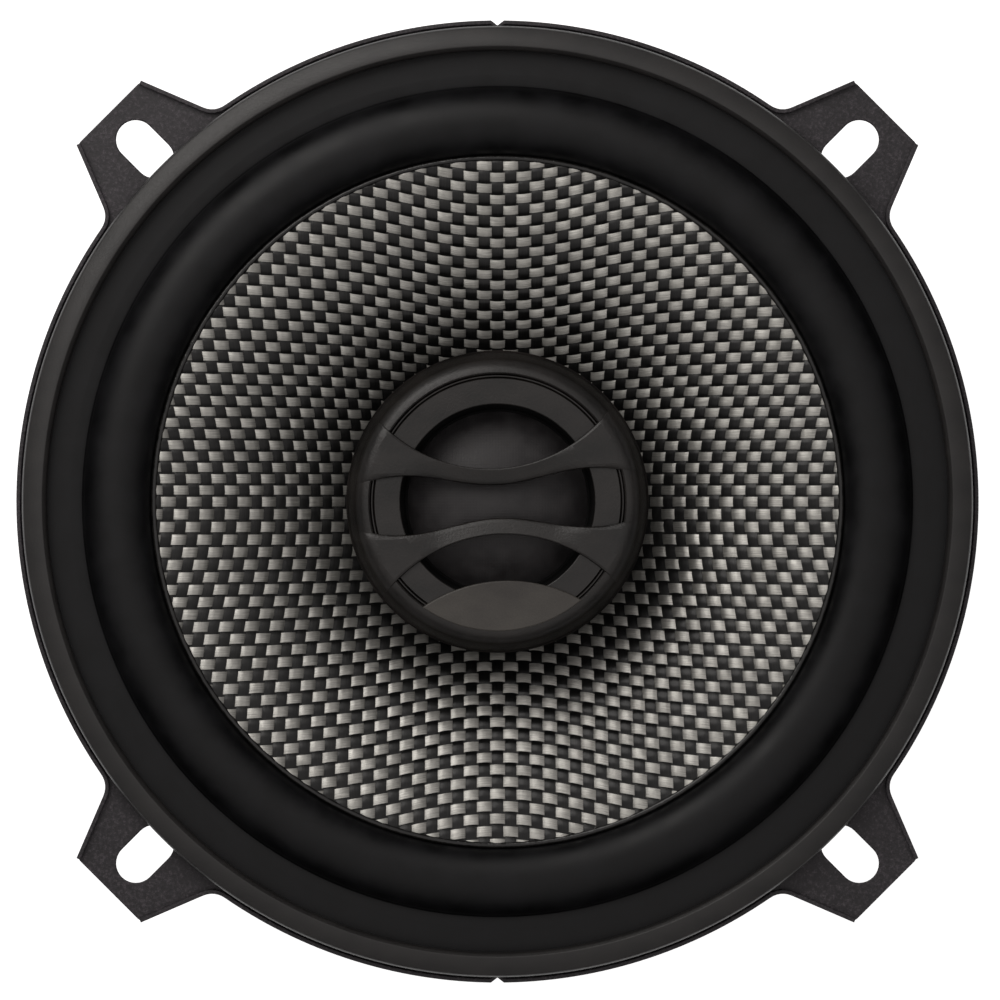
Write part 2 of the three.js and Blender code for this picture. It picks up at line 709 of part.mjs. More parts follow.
// Front ring of the tweeter with its two waved guard bars and the flat lens-shaped plate below them.
function tweeterBezel() {
  const edgeDrop = 2.2;
  const flatDrop = 0.4;
  const crestR = 18.5;
  const grooveR = 17.25;
  const underZ = TWEETER_FRONT_Z - edgeDrop;
  const barZ = TWEETER_FRONT_Z - 1.8;
  const barTopZ = TWEETER_FRONT_Z + 0.3;
  const barEndR = 19.6;
  const plateEndR = 18.4;
  const skirtZ = HOUSING_TOP_Z + GAP;
  const face = ring([
    [BEZEL_WALL_INNER_R, skirtZ],
    [TWEETER_R, skirtZ],
    [TWEETER_R, TWEETER_FRONT_Z - edgeDrop],
    [TWEETER_R - 0.6, TWEETER_FRONT_Z - edgeDrop / 2],
    [TWEETER_R - 1.5, TWEETER_FRONT_Z - 0.1],
    [crestR, TWEETER_FRONT_Z],
    [grooveR + 0.35, TWEETER_FRONT_Z - 0.2],
    [grooveR, TWEETER_FRONT_Z - 2 * flatDrop],
    [grooveR - 0.35, TWEETER_FRONT_Z - flatDrop],
    [OPENING_R, TWEETER_FRONT_Z - flatDrop],
    [OPENING_R, underZ],
    [BEZEL_WALL_INNER_R - 1.2, underZ],
    [BEZEL_WALL_INNER_R, underZ - 1.2],
  ], WIDE);
  const bars = [1, -1].map((side) => (
    solid(plate(guardBar(side), barZ, barTopZ)).intersect(solid(rod(barEndR, 0, 2 * barTopZ, WIDE)))));
  const badgeArea = solid(rod(plateEndR, 0, 2 * barTopZ, WIDE));
  const badge = solid(plate(badgePlate(), barZ, barTopZ)).intersect(badgeArea);
  return geometryOf([...bars, badge].reduce((body, other) => body.add(other), solid(face)));
}

function tweeterDome() {
  const sphereR = (DOME_R ** 2 + DOME_RISE ** 2) / (2 * DOME_RISE);
  const halfAngle = Math.asin(DOME_R / sphereR);
  const centreZ = DOME_BASE_Z + DOME_RISE - sphereR;
  const cap = (radius) => sample(4, (part) => (
    [radius * Math.sin(part * halfAngle), centreZ + radius * Math.cos(part * halfAngle)]));
  const profile = [...cap(sphereR - DOME_SHEET), ...cap(sphereR).reverse()];
  return turned(profile, MEDIUM);
}

function tweeterSurround() {
  const innerR = DOME_R + GAP;
  const outerR = DOME_R + 2;
  const landingR = CUP_R + 0.8;
  const middle = (innerR + outerR) / 2;
  const half = (outerR - innerR) / 2;
  const baseZ = FACEPLATE_TOP_Z + GAP + DOME_SHEET;
  const front = [
    ...sample(3, (part) => {
      const angle = Math.PI * (1 - part);
      return [middle + half * Math.cos(angle), baseZ + half * Math.sin(angle)];
    }),
    [landingR, baseZ],
  ];
  return ring(sheet(front, DOME_SHEET), MEDIUM);
}

const tweeter = new THREE.Group();
tweeter.rotation.z = TWEETER_TWIST;
speaker.add(tweeter);

const MAGNET_DISC_Z = CUP_Z + CUP_FLOOR + GAP;
const POLE_PLATE_Z = MAGNET_DISC_Z + TWEETER_MAGNET_HEIGHT + GAP;

function tweeterYokeCup() {
  return turned([
    [0, CUP_Z],
    [CUP_R, CUP_Z],
    [CUP_R, LEDGE_Z],
    [CUP_BORE_R, LEDGE_Z],
    [CUP_BORE_R, CUP_Z + CUP_FLOOR],
    [0, CUP_Z + CUP_FLOOR],
  ], MEDIUM);
}

function tweeterCoil() {
  const bottomZ = POLE_PLATE_Z - TWEETER_COIL_DROP;
  const topZ = DOME_BASE_Z - DOME_SHEET - GAP;
  return sleeve(TWEETER_COIL_R, TWEETER_COIL_R + TWEETER_COIL_WALL, bottomZ, topZ, MEDIUM);
}

add('tweeter_housing', tweeterHousing(), blackPlastic, tweeter);
add('tweeter_bezel', tweeterBezel(), blackPlastic, tweeter);
add('tweeter_faceplate', sleeve(FACEPLATE_INNER_R, FACEPLATE_OUTER_R, FACEPLATE_Z, FACEPLATE_TOP_Z, MEDIUM),
  blackPlastic, tweeter);
add('tweeter_dome', tweeterDome(), domeSilk, tweeter);
add('tweeter_surround', tweeterSurround(), domeSilk, tweeter);
add('tweeter_coil', tweeterCoil(), copper, tweeter);
add('tweeter_pole_plate', rod(POLE_PLATE_R, POLE_PLATE_Z, POLE_PLATE_Z + POLE_PLATE_HEIGHT, MEDIUM),
  zincSteel, tweeter);
add('tweeter_magnet', rod(TWEETER_MAGNET_R, MAGNET_DISC_Z, MAGNET_DISC_Z + TWEETER_MAGNET_HEIGHT, MEDIUM),
  neodymium, tweeter);
add('tweeter_yoke_cup', tweeterYokeCup(), zincSteel, tweeter);

// ---------------------------------------------------------------- terminals and leads

// A point at a radius on the terminals' diagonal, off to one side of it, at a height.
function behindSpoke(radius, aside, height) {
  const { x, y } = polarPoint(TERMINAL_ANGLE, radius, aside);
  return new THREE.Vector3(x, y, height);
}

// A box laid along the terminals' diagonal between two radii, two offsets and two heights.
function spokeBlock([innerR, outerR], [right, left], [bottomZ, topZ]) {
  const geometry = new THREE.BoxGeometry(outerR - innerR, left - right, topZ - bottomZ).rotateZ(TERMINAL_ANGLE);
  const centre = behindSpoke((innerR + outerR) / 2, (right + left) / 2, (bottomZ + topZ) / 2);
  return geometry.translate(centre.x, centre.y, centre.z);
}

const TAB_WIDTH = { positive: 6.3, negative: 4.8 };

function tabSpan(side, width, margin) {
  return [side * TAB_OFFSET - width / 2 - margin, side * TAB_OFFSET + width / 2 + margin];
}

function terminalBoard() {
  const heights = [BOARD_Z - CUT_MARGIN, BOARD_TOP_Z + CUT_MARGIN];
  const legHoles = [[-1, TAB_WIDTH.positive], [1, TAB_WIDTH.negative]].map(([side, width]) => (
    spokeBlock([TAB_LEG_R - GAP, TAB_LEG_R + TAB_THICKNESS + GAP], tabSpan(side, width, GAP), heights)));
  const rivetHoles = boardRivetPoints.map(({ x, y }) => rod(BOARD_RIVET_HOLE_R, ...heights, SMALL, x, y));
  const widths = [-BOARD_HALF_WIDTH, BOARD_HALF_WIDTH];
  const board = spokeBlock([BOARD_INNER_R, BOARD_OUTER_R], widths, [BOARD_Z, BOARD_TOP_Z]);
  return shaped(board, [], [...legHoles, ...rivetHoles]);
}

// A spade terminal: a blade over the board's edge and a leg through the board.
function terminal(side, width) {
  const span = tabSpan(side, width, 0);
  const blade = spokeBlock([TAB_LEG_R, TAB_TIP_R], span, [BOARD_TOP_Z + GAP, TAB_TOP_Z]);
  const leg = spokeBlock([TAB_LEG_R, TAB_LEG_R + TAB_THICKNESS], span, [BOARD_Z - TAB_LEG_DROP, TAB_TOP_Z]);
  return shaped(blade, [leg], []);
}

function boardRivet({ x, y }) {
  const shankR = BOARD_RIVET_HOLE_R - GAP;
  const headR = 2;
  const head = 0.8;
  const lowZ = BOARD_Z - GAP;
  const highZ = SHELF_Z + GAP;
  return turned([
    [0, lowZ - head],
    [headR, lowZ - head],
    [headR, lowZ],
    [shankR, lowZ],
    [shankR, highZ],
    [headR, highZ],
    [headR, highZ + head / 2],
    [0, highZ + head],
  ], SMALL).translate(x, y, 0);
}

// Braided lead from the coil former, in a loose loop under the cone, down onto its terminal.
function tinselLead(side) {
  return wire([
    behindSpoke(13.5, side * 3, 29.8),
    behindSpoke(17, side * 3.6, 31),
    behindSpoke(24, side * 5, 31.6),
    behindSpoke(32, side * 6.6, 34),
    behindSpoke(38.5, side * 7.4, 36.8),
    behindSpoke(42.4, side * TAB_OFFSET, 36),
    behindSpoke(TINSEL_END_R, side * TAB_OFFSET, 32.5),
    behindSpoke(TINSEL_END_R, side * TAB_OFFSET, TAB_TOP_Z + GAP),
  ], TINSEL_R, 16);
}

// Lead from the tweeter down through the post and the pole, out under the magnet and up to the board.
function tweeterLead(side) {
  const aside = side * 0.75;
  const besideCup = (CUP_R + LEDGE_R) / 2;
  const underCupZ = (CUP_Z + HOUSING_FLOOR_Z + HOUSING_FLOOR) / 2;
  const behindBootR = MAGNET_R + GAP + BOOT_WALL + 0.4 + LEAD_R;
  const underYokeZ = YOKE_Z / 2;
  return wire([
    behindSpoke(besideCup, aside, FACEPLATE_Z - GAP),
    behindSpoke(besideCup, aside, underCupZ + 2.6),
    behindSpoke(besideCup - 0.1, aside, underCupZ + 1.5),
    behindSpoke(besideCup - 0.6, aside, underCupZ + 0.5),
    behindSpoke(besideCup - 1.7, aside, underCupZ + 0.05),
    behindSpoke(besideCup - 4, aside, underCupZ),
    behindSpoke(3, aside, underCupZ),
    behindSpoke(0.4, aside, underCupZ - 1.6),
    behindSpoke(0, aside, POST_TOP_Z - 3),
    behindSpoke(0, aside, POLE_TOP_Z),
    behindSpoke(0, aside, YOKE_Z + 1.8),
    behindSpoke(0.8, aside, underYokeZ + 0.2),
    behindSpoke(3, aside, underYokeZ),
    behindSpoke(behindBootR - 3, aside, underYokeZ),
    behindSpoke(behindBootR - 0.5, aside, underYokeZ + 0.5),
    behindSpoke(behindBootR, aside, underYokeZ + 3),
    behindSpoke(behindBootR, aside, BOARD_Z - GAP),
  ], LEAD_R, 40);
}

function crossoverCapacitor() {
  const bodyR = 4;
  const height = 11.5;
  const centre = polarPoint(TERMINAL_ANGLE, TINSEL_END_R, 0);
  return rod(bodyR, BOARD_Z - GAP - height, BOARD_Z - GAP, MEDIUM, centre.x, centre.y);
}

add('terminal_board', terminalBoard(), boardLaminate);
add('positive_terminal', terminal(-1, TAB_WIDTH.positive), brass);
add('negative_terminal', terminal(1, TAB_WIDTH.negative), brass);
boardRivetPoints.forEach((point, index) => add(`board_rivet_${index + 1}`, boardRivet(point), zincSteel));
add('crossover_capacitor', crossoverCapacitor(), capacitorSleeve);
add('tinsel_lead_positive', tinselLead(-1), tinsel);
add('tinsel_lead_negative', tinselLead(1), tinsel);
add('tweeter_lead_positive', tweeterLead(-1), leadRed);
add('tweeter_lead_negative', tweeterLead(1), leadBlack);

export default speaker;
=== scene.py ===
"""Looks of the coaxial car speaker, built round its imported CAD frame.

Lengths are worked out in millimetres, as on a drawing, and MM turns them into metres.
Z is the speaker's axis and the front faces +Z. Every piece takes the place of one CAD node.
"""

import math

import bmesh
import bpy
import numpy as np
from mathutils import Matrix, Vector


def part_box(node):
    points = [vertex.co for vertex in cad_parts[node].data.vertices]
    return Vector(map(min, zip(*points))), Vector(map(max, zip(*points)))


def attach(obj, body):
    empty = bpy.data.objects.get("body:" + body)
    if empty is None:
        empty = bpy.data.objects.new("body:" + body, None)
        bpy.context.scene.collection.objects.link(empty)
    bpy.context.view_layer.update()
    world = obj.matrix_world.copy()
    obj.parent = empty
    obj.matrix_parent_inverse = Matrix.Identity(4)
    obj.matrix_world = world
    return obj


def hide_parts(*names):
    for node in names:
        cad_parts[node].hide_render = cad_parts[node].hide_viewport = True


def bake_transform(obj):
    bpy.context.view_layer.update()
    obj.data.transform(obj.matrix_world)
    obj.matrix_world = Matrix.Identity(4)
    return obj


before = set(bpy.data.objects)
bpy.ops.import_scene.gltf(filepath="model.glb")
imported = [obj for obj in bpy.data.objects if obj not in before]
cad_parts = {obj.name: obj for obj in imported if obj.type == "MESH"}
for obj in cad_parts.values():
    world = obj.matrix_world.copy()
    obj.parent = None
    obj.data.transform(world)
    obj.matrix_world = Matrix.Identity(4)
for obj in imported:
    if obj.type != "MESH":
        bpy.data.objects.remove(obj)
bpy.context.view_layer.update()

MM = 0.001
STEEL = 1.0
GAP = 0.3
SHARP = 32

# Mounting flange
FLANGE_Z = 55.0
RIM_R = 66.5
EAR_REACH = 76.0
EAR_END_HALF = 6.3
EAR_BASE_HALF = 10.4
LIP_WIDTH = 0.6
LIP_TOP_Z = FLANGE_Z + 1.0
SLOT_HALF = 2.7
SLOT_INNER_R = 64.4
SLOT_OUTER_R = 73.5
SEAT_R = 57.6
QUARTERS = [quarter * math.pi / 2 for quarter in range(4)]
DIAGONALS = [math.radians(45 + 90 * quarter) for quarter in range(4)]

# Cone, surround and coil
SURROUND_Z = 56.0
CONE_R = 47.6
NECK_R = 13.35
CONE_DEPTH = 17.5
CONE_CURVE = 0.6
CONE_SHEET = 0.7
ROLL_INNER_R = 48.0
ROLL_OUTER_R = 57.2
ROLL_HEIGHT = 3.4
SURROUND_R = 64.0
RUBBER = 0.7

# Weave: glass tows run along X and carbon tows along Y. The cloth is pulled denser towards +Y.
CARBON_PITCH = 1.83
GLASS_PITCH_ABOVE = 1.58
GLASS_PITCH_BELOW = 1.77
WEAVE_LIFT = 0.15
TOW_CROWN = 0.09
GLASS_HALF_WIDTH = 0.40
CARBON_HALF_WIDTH = 0.42
DRAPE_R = 14.0

# Tweeter
TWEETER_R = 20.9
TWEETER_FRONT_Z = 61.1
TWEETER_TURN = Matrix.Rotation(math.radians(2.6), 4, "Z")
OPENING_R = 13.4
BEZEL_CREST_R = 17.8
BEZEL_SHOULDER_R = 19.2
BAR_END_R = 19.85
BAR_LEAN = 0.5
DOME_R = 12.6
DOME_RISE = 4.0
DOME_BASE_Z = 54.6

# Terminals behind the lower right spoke
TERMINAL_ANGLE = math.radians(-45)
TAB_OFFSET = 7.5
TAB_LEG_R = 41.5
TAB_THICKNESS = 0.8
POSITIVE_WIDTH = 6.3
NEGATIVE_WIDTH = 4.8
BOARD_RIVET_R = 36.2
BOARD_RIVET_OFFSET = 8.0
BASKET_RIVET_R = 26.3
BASKET_RIVET_HOLE_R = 1.8
BOARD_RIVET_HOLE_R = 1.5


# ---------------------------------------------------------------- making meshes


def show(name, mesh, material, node, body="chassis", turn=None):
    """Adds a piece that stands for a CAD node."""
    piece = bpy.data.objects.new(name, mesh)
    bpy.context.scene.collection.objects.link(piece)
    if turn is not None:
        mesh.transform(turn)
    mesh.materials.clear()
    mesh.materials.append(material)
    if body:
        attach(piece, body)
    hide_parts(node)
    return piece


def shaded(mesh, sharp_degrees=SHARP):
    """Smooth shading that keeps the mesh's sharp edges, and its level faces flat."""
    mesh.set_sharp_from_angle(angle=math.radians(sharp_degrees))
    mesh.polygons.foreach_set("use_smooth", [abs(face.normal.z) < 0.9999 for face in mesh.polygons])
    return mesh


def finished(shape, name, sharp_degrees=SHARP):
    """Turns a bmesh into a shaded mesh."""
    mesh = bpy.data.meshes.new(name)
    shape.to_mesh(mesh)
    shape.free()
    return shaded(mesh, sharp_degrees)


def show_turned(name, outline, material, node, segments=192, body="chassis", turn=None):
    """Adds a piece turned from an outline."""
    return show(name, lathe(outline, name, segments), material, node, body, turn)


def heights(node):
    """Lowest and highest z of a CAD node, in millimetres."""
    low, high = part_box(node)
    return low.z / MM, high.z / MM


def span(node):
    """Outer radius, lowest and highest z of a round CAD node, in millimetres."""
    low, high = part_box(node)
    return (high.x - low.x) / 2 / MM, low.z / MM, high.z / MM


def bore_of(node):
    """Radius of a round CAD node's bore, in millimetres."""
    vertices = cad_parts[node].data.vertices
    return min(math.hypot(v.co.x, v.co.y) for v in vertices) / MM


def arc(centre_r, centre_z, radius_r, radius_z, start, end, steps):
    """Points of an upright elliptic arc, with angles in degrees."""
    angles = np.radians(np.linspace(start, end, steps + 1))
    return [(centre_r + radius_r * math.cos(a), centre_z + radius_z * math.sin(a)) for a in angles]


def eased(outline, radius, steps=4):
    """A closed outline with its corners rounded. Corners on the axis and almost straight ones stay."""
    rounded = []
    for index, corner in enumerate(outline):
        corner = Vector(corner)
        before = Vector(outline[index - 1]) - corner
        after = Vector(outline[(index + 1) % len(outline)]) - corner
        turning = math.pi - before.angle(after, math.pi)
        if abs(corner.x) < 1e-6 or turning < 0.2:
            rounded.append(tuple(corner))
            continue
        cut = min(radius, 0.45 * before.length, 0.45 * after.length)
        start = corner + before.normalized() * cut
        end = corner + after.normalized() * cut
        for step in range(steps + 1):
            t = step / steps
            point = start * (1 - t) ** 2 + corner * 2 * t * (1 - t) + end * t ** 2
            rounded.append(tuple(point))
    return rounded


def sheet(front, gauge):
    """The closed outline of a sheet, from the open line of its front and its thickness."""
    front = np.array(front, float)
    along = np.gradient(front, axis=0)
    along /= np.linalg.norm(along, axis=1)[:, None]
    back = front + gauge * np.column_stack([along[:, 1], -along[:, 0]])
    return [tuple(p) for p in back] + [tuple(p) for p in front[::-1]]


def lathe(outline, name, segments=192, centre=(0.0, 0.0), sharp_degrees=SHARP):
    """A closed outline of (radius, z) turned about an upright line, mapped in mm round and along it."""
    count = len(outline)
    outline = np.array(outline, float)
    steps = np.linalg.norm(np.diff(np.vstack([outline, outline[:1]]), axis=0), axis=1)
    travelled = np.concatenate([[0.0], np.cumsum(steps)])
    shape = bmesh.new()
    layer = shape.loops.layers.uv.new("map")
    rings = []
    for segment in range(segments):
        angle = 2 * math.pi * segment / segments
        x, y = math.cos(angle), math.sin(angle)
        rings.append([
            shape.verts.new(((centre[0] + r * x) * MM, (centre[1] + r * y) * MM, z * MM))
            for r, z in outline])
    for segment in range(segments):
        near, far = rings[segment], rings[(segment + 1) % segments]
        angles = (2 * math.pi * segment / segments, 2 * math.pi * (segment + 1) / segments)
        for index in range(count):
            following = (index + 1) % count
            if outline[index][0] < 1e-6 and outline[following][0] < 1e-6:
                continue
            corners = [near[index], far[index], far[following], near[following]]
            face = shape.faces.new(corners)
            radius = max(outline[index][0], outline[following][0])
            start, end = travelled[index], travelled[index + 1]
            places = zip((angles[0], angles[1], angles[1], angles[0]), (start, start, end, end))
            for loop, (angle, along) in zip(face.loops, places):
                loop[layer].uv = (angle * radius, along)
    bmesh.ops.remove_doubles(shape, verts=shape.verts, dist=1e-7)
    bmesh.ops.recalc_face_normals(shape, faces=shape.faces)
    return finished(shape, name, sharp_degrees)


def plate(outlines, bottom, top, name, bevel):
    """A flat plate with eased edges. The first outline is its edge, the others are holes."""
    curve = bpy.data.curves.new(name, "CURVE")
    curve.dimensions = "2D"
    curve.fill_mode = "BOTH"
    for outline in outlines:
        spline = curve.splines.new("POLY")
        spline.points.add(len(outline) - 1)
        for point, (x, y) in zip(spline.points, outline):
            point.co = (x * MM, y * MM, 0, 1)
        spline.use_cyclic_u = True
    curve.extrude = ((top - bottom) / 2 - bevel) * MM
    curve.bevel_depth = bevel * MM
    curve.bevel_resolution = 2
    curve.offset = -bevel * MM
    holder = bpy.data.objects.new(name, curve)
    bpy.context.scene.collection.objects.link(holder)
    graph = bpy.context.evaluated_depsgraph_get()
    mesh = bpy.data.meshes.new_from_object(holder.evaluated_get(graph))
    bpy.data.objects.remove(holder)
    bpy.data.curves.remove(curve)
    shape = bmesh.new()
    shape.from_mesh(mesh)
    bpy.data.meshes.remove(mesh)
    bmesh.ops.remove_doubles(shape, verts=shape.verts, dist=1e-7)
    bmesh.ops.recalc_face_normals(shape, faces=shape.faces)
    bmesh.ops.translate(shape, verts=shape.verts, vec=(0, 0, (top + bottom) / 2 * MM))
    return finished(shape, name)


def prism(outline, bottom, top, name):
    """A plain straight-sided solid over an outline, used to cut with."""
    shape = bmesh.new()
    base = shape.faces.new([shape.verts.new((x * MM, y * MM, bottom * MM)) for x, y in outline])
    raised = bmesh.ops.extrude_face_region(shape, geom=[base])["geom"]
    moved = [item for item in raised if isinstance(item, bmesh.types.BMVert)]
    bmesh.ops.translate(shape, verts=moved, vec=(0, 0, (top - bottom) * MM))
    bmesh.ops.recalc_face_normals(shape, faces=shape.faces)
    return finished(shape, name)


def joined(meshes, name, sharp_degrees=SHARP):
    """One mesh from several, which are used up."""
    shape = bmesh.new()
    for mesh in meshes:
        shape.from_mesh(mesh)
        bpy.data.meshes.remove(mesh)
    return finished(shape, name, sharp_degrees)


def cut(mesh, cutters, name):
    """The mesh with the cutters taken away from it."""
    target = bpy.data.objects.new(name, mesh)
    tool = bpy.data.objects.new("cutter", joined(cutters, "cutter"))
    for item in (target, tool):
        bpy.context.scene.collection.objects.link(item)
    boolean = target.modifiers.new("cut", "BOOLEAN")
    boolean.solver = "EXACT"
    boolean.object = tool
    graph = bpy.context.evaluated_depsgraph_get()
    result = bpy.data.meshes.new_from_object(target.evaluated_get(graph))
    bpy.data.objects.remove(target)
    bpy.data.objects.remove(tool)
    return shaded(result)


def on_axis(outline):
    """The outline with the points that are a hair off the axis put on it."""
    return [(0.0, z) if r < 1e-6 else (r, z) for r, z in outline]


def polar(angle, along, across=0.0):
    """The point so far along a direction from the axis and so far to its left."""
    return (along * math.cos(angle) - across * math.sin(angle),
            along * math.sin(angle) + across * math.cos(angle))


def circle(radius, centre=(0.0, 0.0), points=32):
    angles = np.linspace(0, 2 * math.pi, points, endpoint=False)
    return [(centre[0] + radius * math.cos(a), centre[1] + radius * math.sin(a)) for a in angles]


def at_knot(t, start, end, first, last):
    """The point on the way from first to last at t, which runs from start to end."""
    return (end - t) / (end - start) * first + (t - start) / (end - start) * last


def smooth_route(points, per_stretch=8):
    """Points along a smooth line through a few given points."""
    points = np.array(points, float)
    ends = np.vstack([2 * points[0] - points[1], points, 2 * points[-1] - points[-2]])
    route = []
    for index in range(1, len(ends) - 2):
        near = ends[index - 1:index + 3]
        knots = np.concatenate([[0.0], np.cumsum(np.linalg.norm(np.diff(near, axis=0), axis=1) ** 0.5)])
        for t in np.linspace(knots[1], knots[2], per_stretch, endpoint=False):
            lines = [at_knot(t, knots[i], knots[i + 1], near[i], near[i + 1]) for i in range(3)]
            bends = [at_knot(t, knots[i], knots[i + 2], lines[i], lines[i + 1]) for i in range(2)]
            route.append(at_knot(t, knots[1], knots[2], *bends))
    route.append(points[-1])
    return np.array(route)


def frames_along(route):
    """A sideways and an upward direction at each point of a route, carried along without twist."""
    along = np.gradient(route, axis=0)
    along /= np.linalg.norm(along, axis=1)[:, None]
    side = np.cross(along[0], (0.3, 0.5, 0.8))
    sides = []
    for direction in along:
        side = side - direction * (side @ direction)
        side = side / np.linalg.norm(side)
        sides.append(side)
    sides = np.array(sides)
    return sides, np.cross(along, sides)


def tube(route, radius, name, sides, strands=1, twist_length=6.0):
    """A round wire along a route, or a bundle of strands laid round each other."""
    side, up = frames_along(route)
    travelled = np.concatenate([[0.0], np.cumsum(np.linalg.norm(np.diff(route, axis=0), axis=1))])
    strand_r = radius if strands == 1 else radius * 0.5
    orbit = 0.0 if strands == 1 else radius - strand_r
    shape = bmesh.new()
    layer = shape.loops.layers.uv.new("map")
    for strand in range(strands):
        turn = 2 * math.pi * (strand / strands + travelled / twist_length)
        middle = route + orbit * (np.cos(turn)[:, None] * side + np.sin(turn)[:, None] * up)
        rings = []
        spread = [2 * math.pi * k / sides for k in range(sides)]
        for point, aside, above in zip(middle, side, up):
            rings.append([
                shape.verts.new((point + strand_r * (math.cos(a) * aside + math.sin(a) * above)) * MM)
                for a in spread])
        for index in range(len(rings) - 1):
            for k in range(sides):
                around = (k + 1) % sides
                face = shape.faces.new(
                    [rings[index][k], rings[index][around], rings[index + 1][around], rings[index + 1][k]])
                places = [(k, index), (k + 1, index), (k + 1, index + 1), (k, index + 1)]
                for loop, (turned, at) in zip(face.loops, places):
                    loop[layer].uv = (2 * math.pi * strand_r * turned / sides, travelled[at])
        shape.faces.new(rings[0])
        shape.faces.new(rings[-1][::-1])
    bmesh.ops.recalc_face_normals(shape, faces=shape.faces)
    return finished(shape, name, 60)


# ---------------------------------------------------------------- making materials


class Nodes:
    """A new material and short ways to add nodes to it."""

    def __init__(self, name, **settings):
        self.material = bpy.data.materials.new(name)
        self.material.use_nodes = True
        self.tree = self.material.node_tree
        self.shader = self.tree.nodes["Principled BSDF"]
        for label, value in settings.items():
            self.shader.inputs[label.replace("_", " ")].default_value = value

    def add(self, kind, inputs=None, **settings):
        node = self.tree.nodes.new("ShaderNode" + kind)
        for label, value in settings.items():
            setattr(node, label, value)
        for label, value in (inputs or {}).items():
            self.feed(node.inputs[label], value)
        return node

    def feed(self, socket, value):
        if isinstance(value, bpy.types.NodeSocket):
            self.tree.links.new(value, socket)
        else:
            socket.default_value = value

    def set(self, label, value):
        self.feed(self.shader.inputs[label], value)

    def place(self, kind="Object"):
        return self.add("TexCoord").outputs[kind]

    def stretched(self, vector, scale):
        return self.add("Mapping", {"Vector": vector, "Scale": scale}).outputs["Vector"]

    def noise(self, vector, grain_mm, detail, roughness=0.55):
        return self.add("TexNoise", {
            "Vector": vector, "Scale": 1 / (grain_mm * MM), "Detail": detail, "Roughness": roughness,
        }).outputs["Fac"]

    def map_noise(self, first, second, detail, roughness=0.55):
        """Noise over the map, with this many grains per millimetre along its first and second axis."""
        vector = self.stretched(self.place("UV"), (first, second, 1.0))
        return self.add("TexNoise", {
            "Vector": vector, "Scale": 1.0, "Detail": detail, "Roughness": roughness}).outputs["Fac"]

    def cells(self, vector, grain_mm):
        return self.add("TexVoronoi", {"Vector": vector, "Scale": 1 / (grain_mm * MM)}).outputs["Distance"]

    def plain_weave(self, vector, scale, **inputs):
        """A factor that is high where the threads of both directions are."""
        inputs.update(Vector=vector, Scale=scale)
        weft, warp = self.add("TexWave", inputs), self.add("TexWave", inputs, bands_direction="Y")
        return self.math("MULTIPLY", weft.outputs["Fac"], warp.outputs["Fac"])

    def between(self, factor, low, high, from_low=0.3, from_high=0.7):
        """A number that follows a factor from one value to another."""
        return self.add("MapRange", {
            "Value": factor, "From Min": from_low, "From Max": from_high, "To Min": low, "To Max": high,
        }).outputs["Result"]

    def colours(self, factor, stops):
        """Base colour that follows a factor through a few stops."""
        node = self.add("ValToRGB", {"Fac": factor})
        ramp = node.color_ramp
        for index, (position, colour) in enumerate(stops):
            element = ramp.elements[index] if index < 2 else ramp.elements.new(position)
            element.position = position
            element.color = (*colour, 1)
        self.set("Base Color", node.outputs["Color"])

    def math(self, operation, first, second=0.0):
        node = self.add("Math", operation=operation)
        self.feed(node.inputs[0], first)
        self.feed(node.inputs[1], second)
        return node.outputs[0]

    def weighted(self, *terms):
        """The sum of factors, each times its weight."""
        total = None
        for factor, weight in reversed(terms):
            part = self.math("MULTIPLY", factor, weight)
            total = self.math("ADD", part, total) if total else part
        return total

    def mottle(self, factor, stops, low, high, depth_mm):
        """Colour, roughness and relief that all follow one factor."""
        self.colours(factor, stops)
        self.set("Roughness", self.between(factor, low, high))
        self.bump(factor, depth_mm)

    def bump(self, height, depth_mm, strength=1.0):
        """Relief of a depth over a height that runs from 0 to 1, on top of any relief already there."""
        inputs = {"Height": height, "Strength": strength, "Distance": depth_mm * MM}
        if self.shader.inputs["Normal"].links:
            inputs["Normal"] = self.shader.inputs["Normal"].links[0].from_socket
        self.set("Normal", self.add("Bump", inputs).outputs["Normal"])


def powder_coat():
    """Fine-grained black powder coat with a slight brown-purple cast."""
    made = Nodes("powder_coat", Roughness=0.5)
    at = made.place()
    speckle = made.noise(at, 0.40, 3, 0.75)
    patches = made.noise(at, 9.0, 2)
    made.colours(made.weighted((speckle, 0.88), (patches, 0.12)), [
        (0.38, (0.008, 0.006, 0.008)), (0.52, (0.027, 0.023, 0.027)), (0.66, (0.090, 0.078, 0.088))])
    made.set("Roughness", made.between(speckle, 0.40, 0.68))
    made.bump(speckle, 0.07)
    made.bump(made.cells(at, 0.6), 0.02, 0.5)
    return made.material


def moulded_plastic(name, dark, light, grain_mm, roughness, relief, dull_below=None):
    """Black moulded plastic with a fine grain and slow flow marks, and duller below a height."""
    made = Nodes(name)
    at = made.place()
    grain = made.noise(at, grain_mm, 3)
    flow = made.noise(made.stretched(at, (1.0, 1.6, 0.6)), 7.0, 2)
    mixed = made.weighted((grain, 0.35), (flow, 0.65))
    made.colours(mixed, [(0.35, dark), (0.65, light)])
    made.set("Roughness", made.between(grain, roughness - 0.05, roughness + 0.09))
    if dull_below is not None:
        height = made.add("SeparateXYZ", {"Vector": at}).outputs["Z"]
        made.set("Specular IOR Level",
                 made.between(height, 0.06, 0.5, (dull_below - 0.4) * MM, (dull_below + 0.2) * MM))
    made.bump(grain, relief)
    return made.material


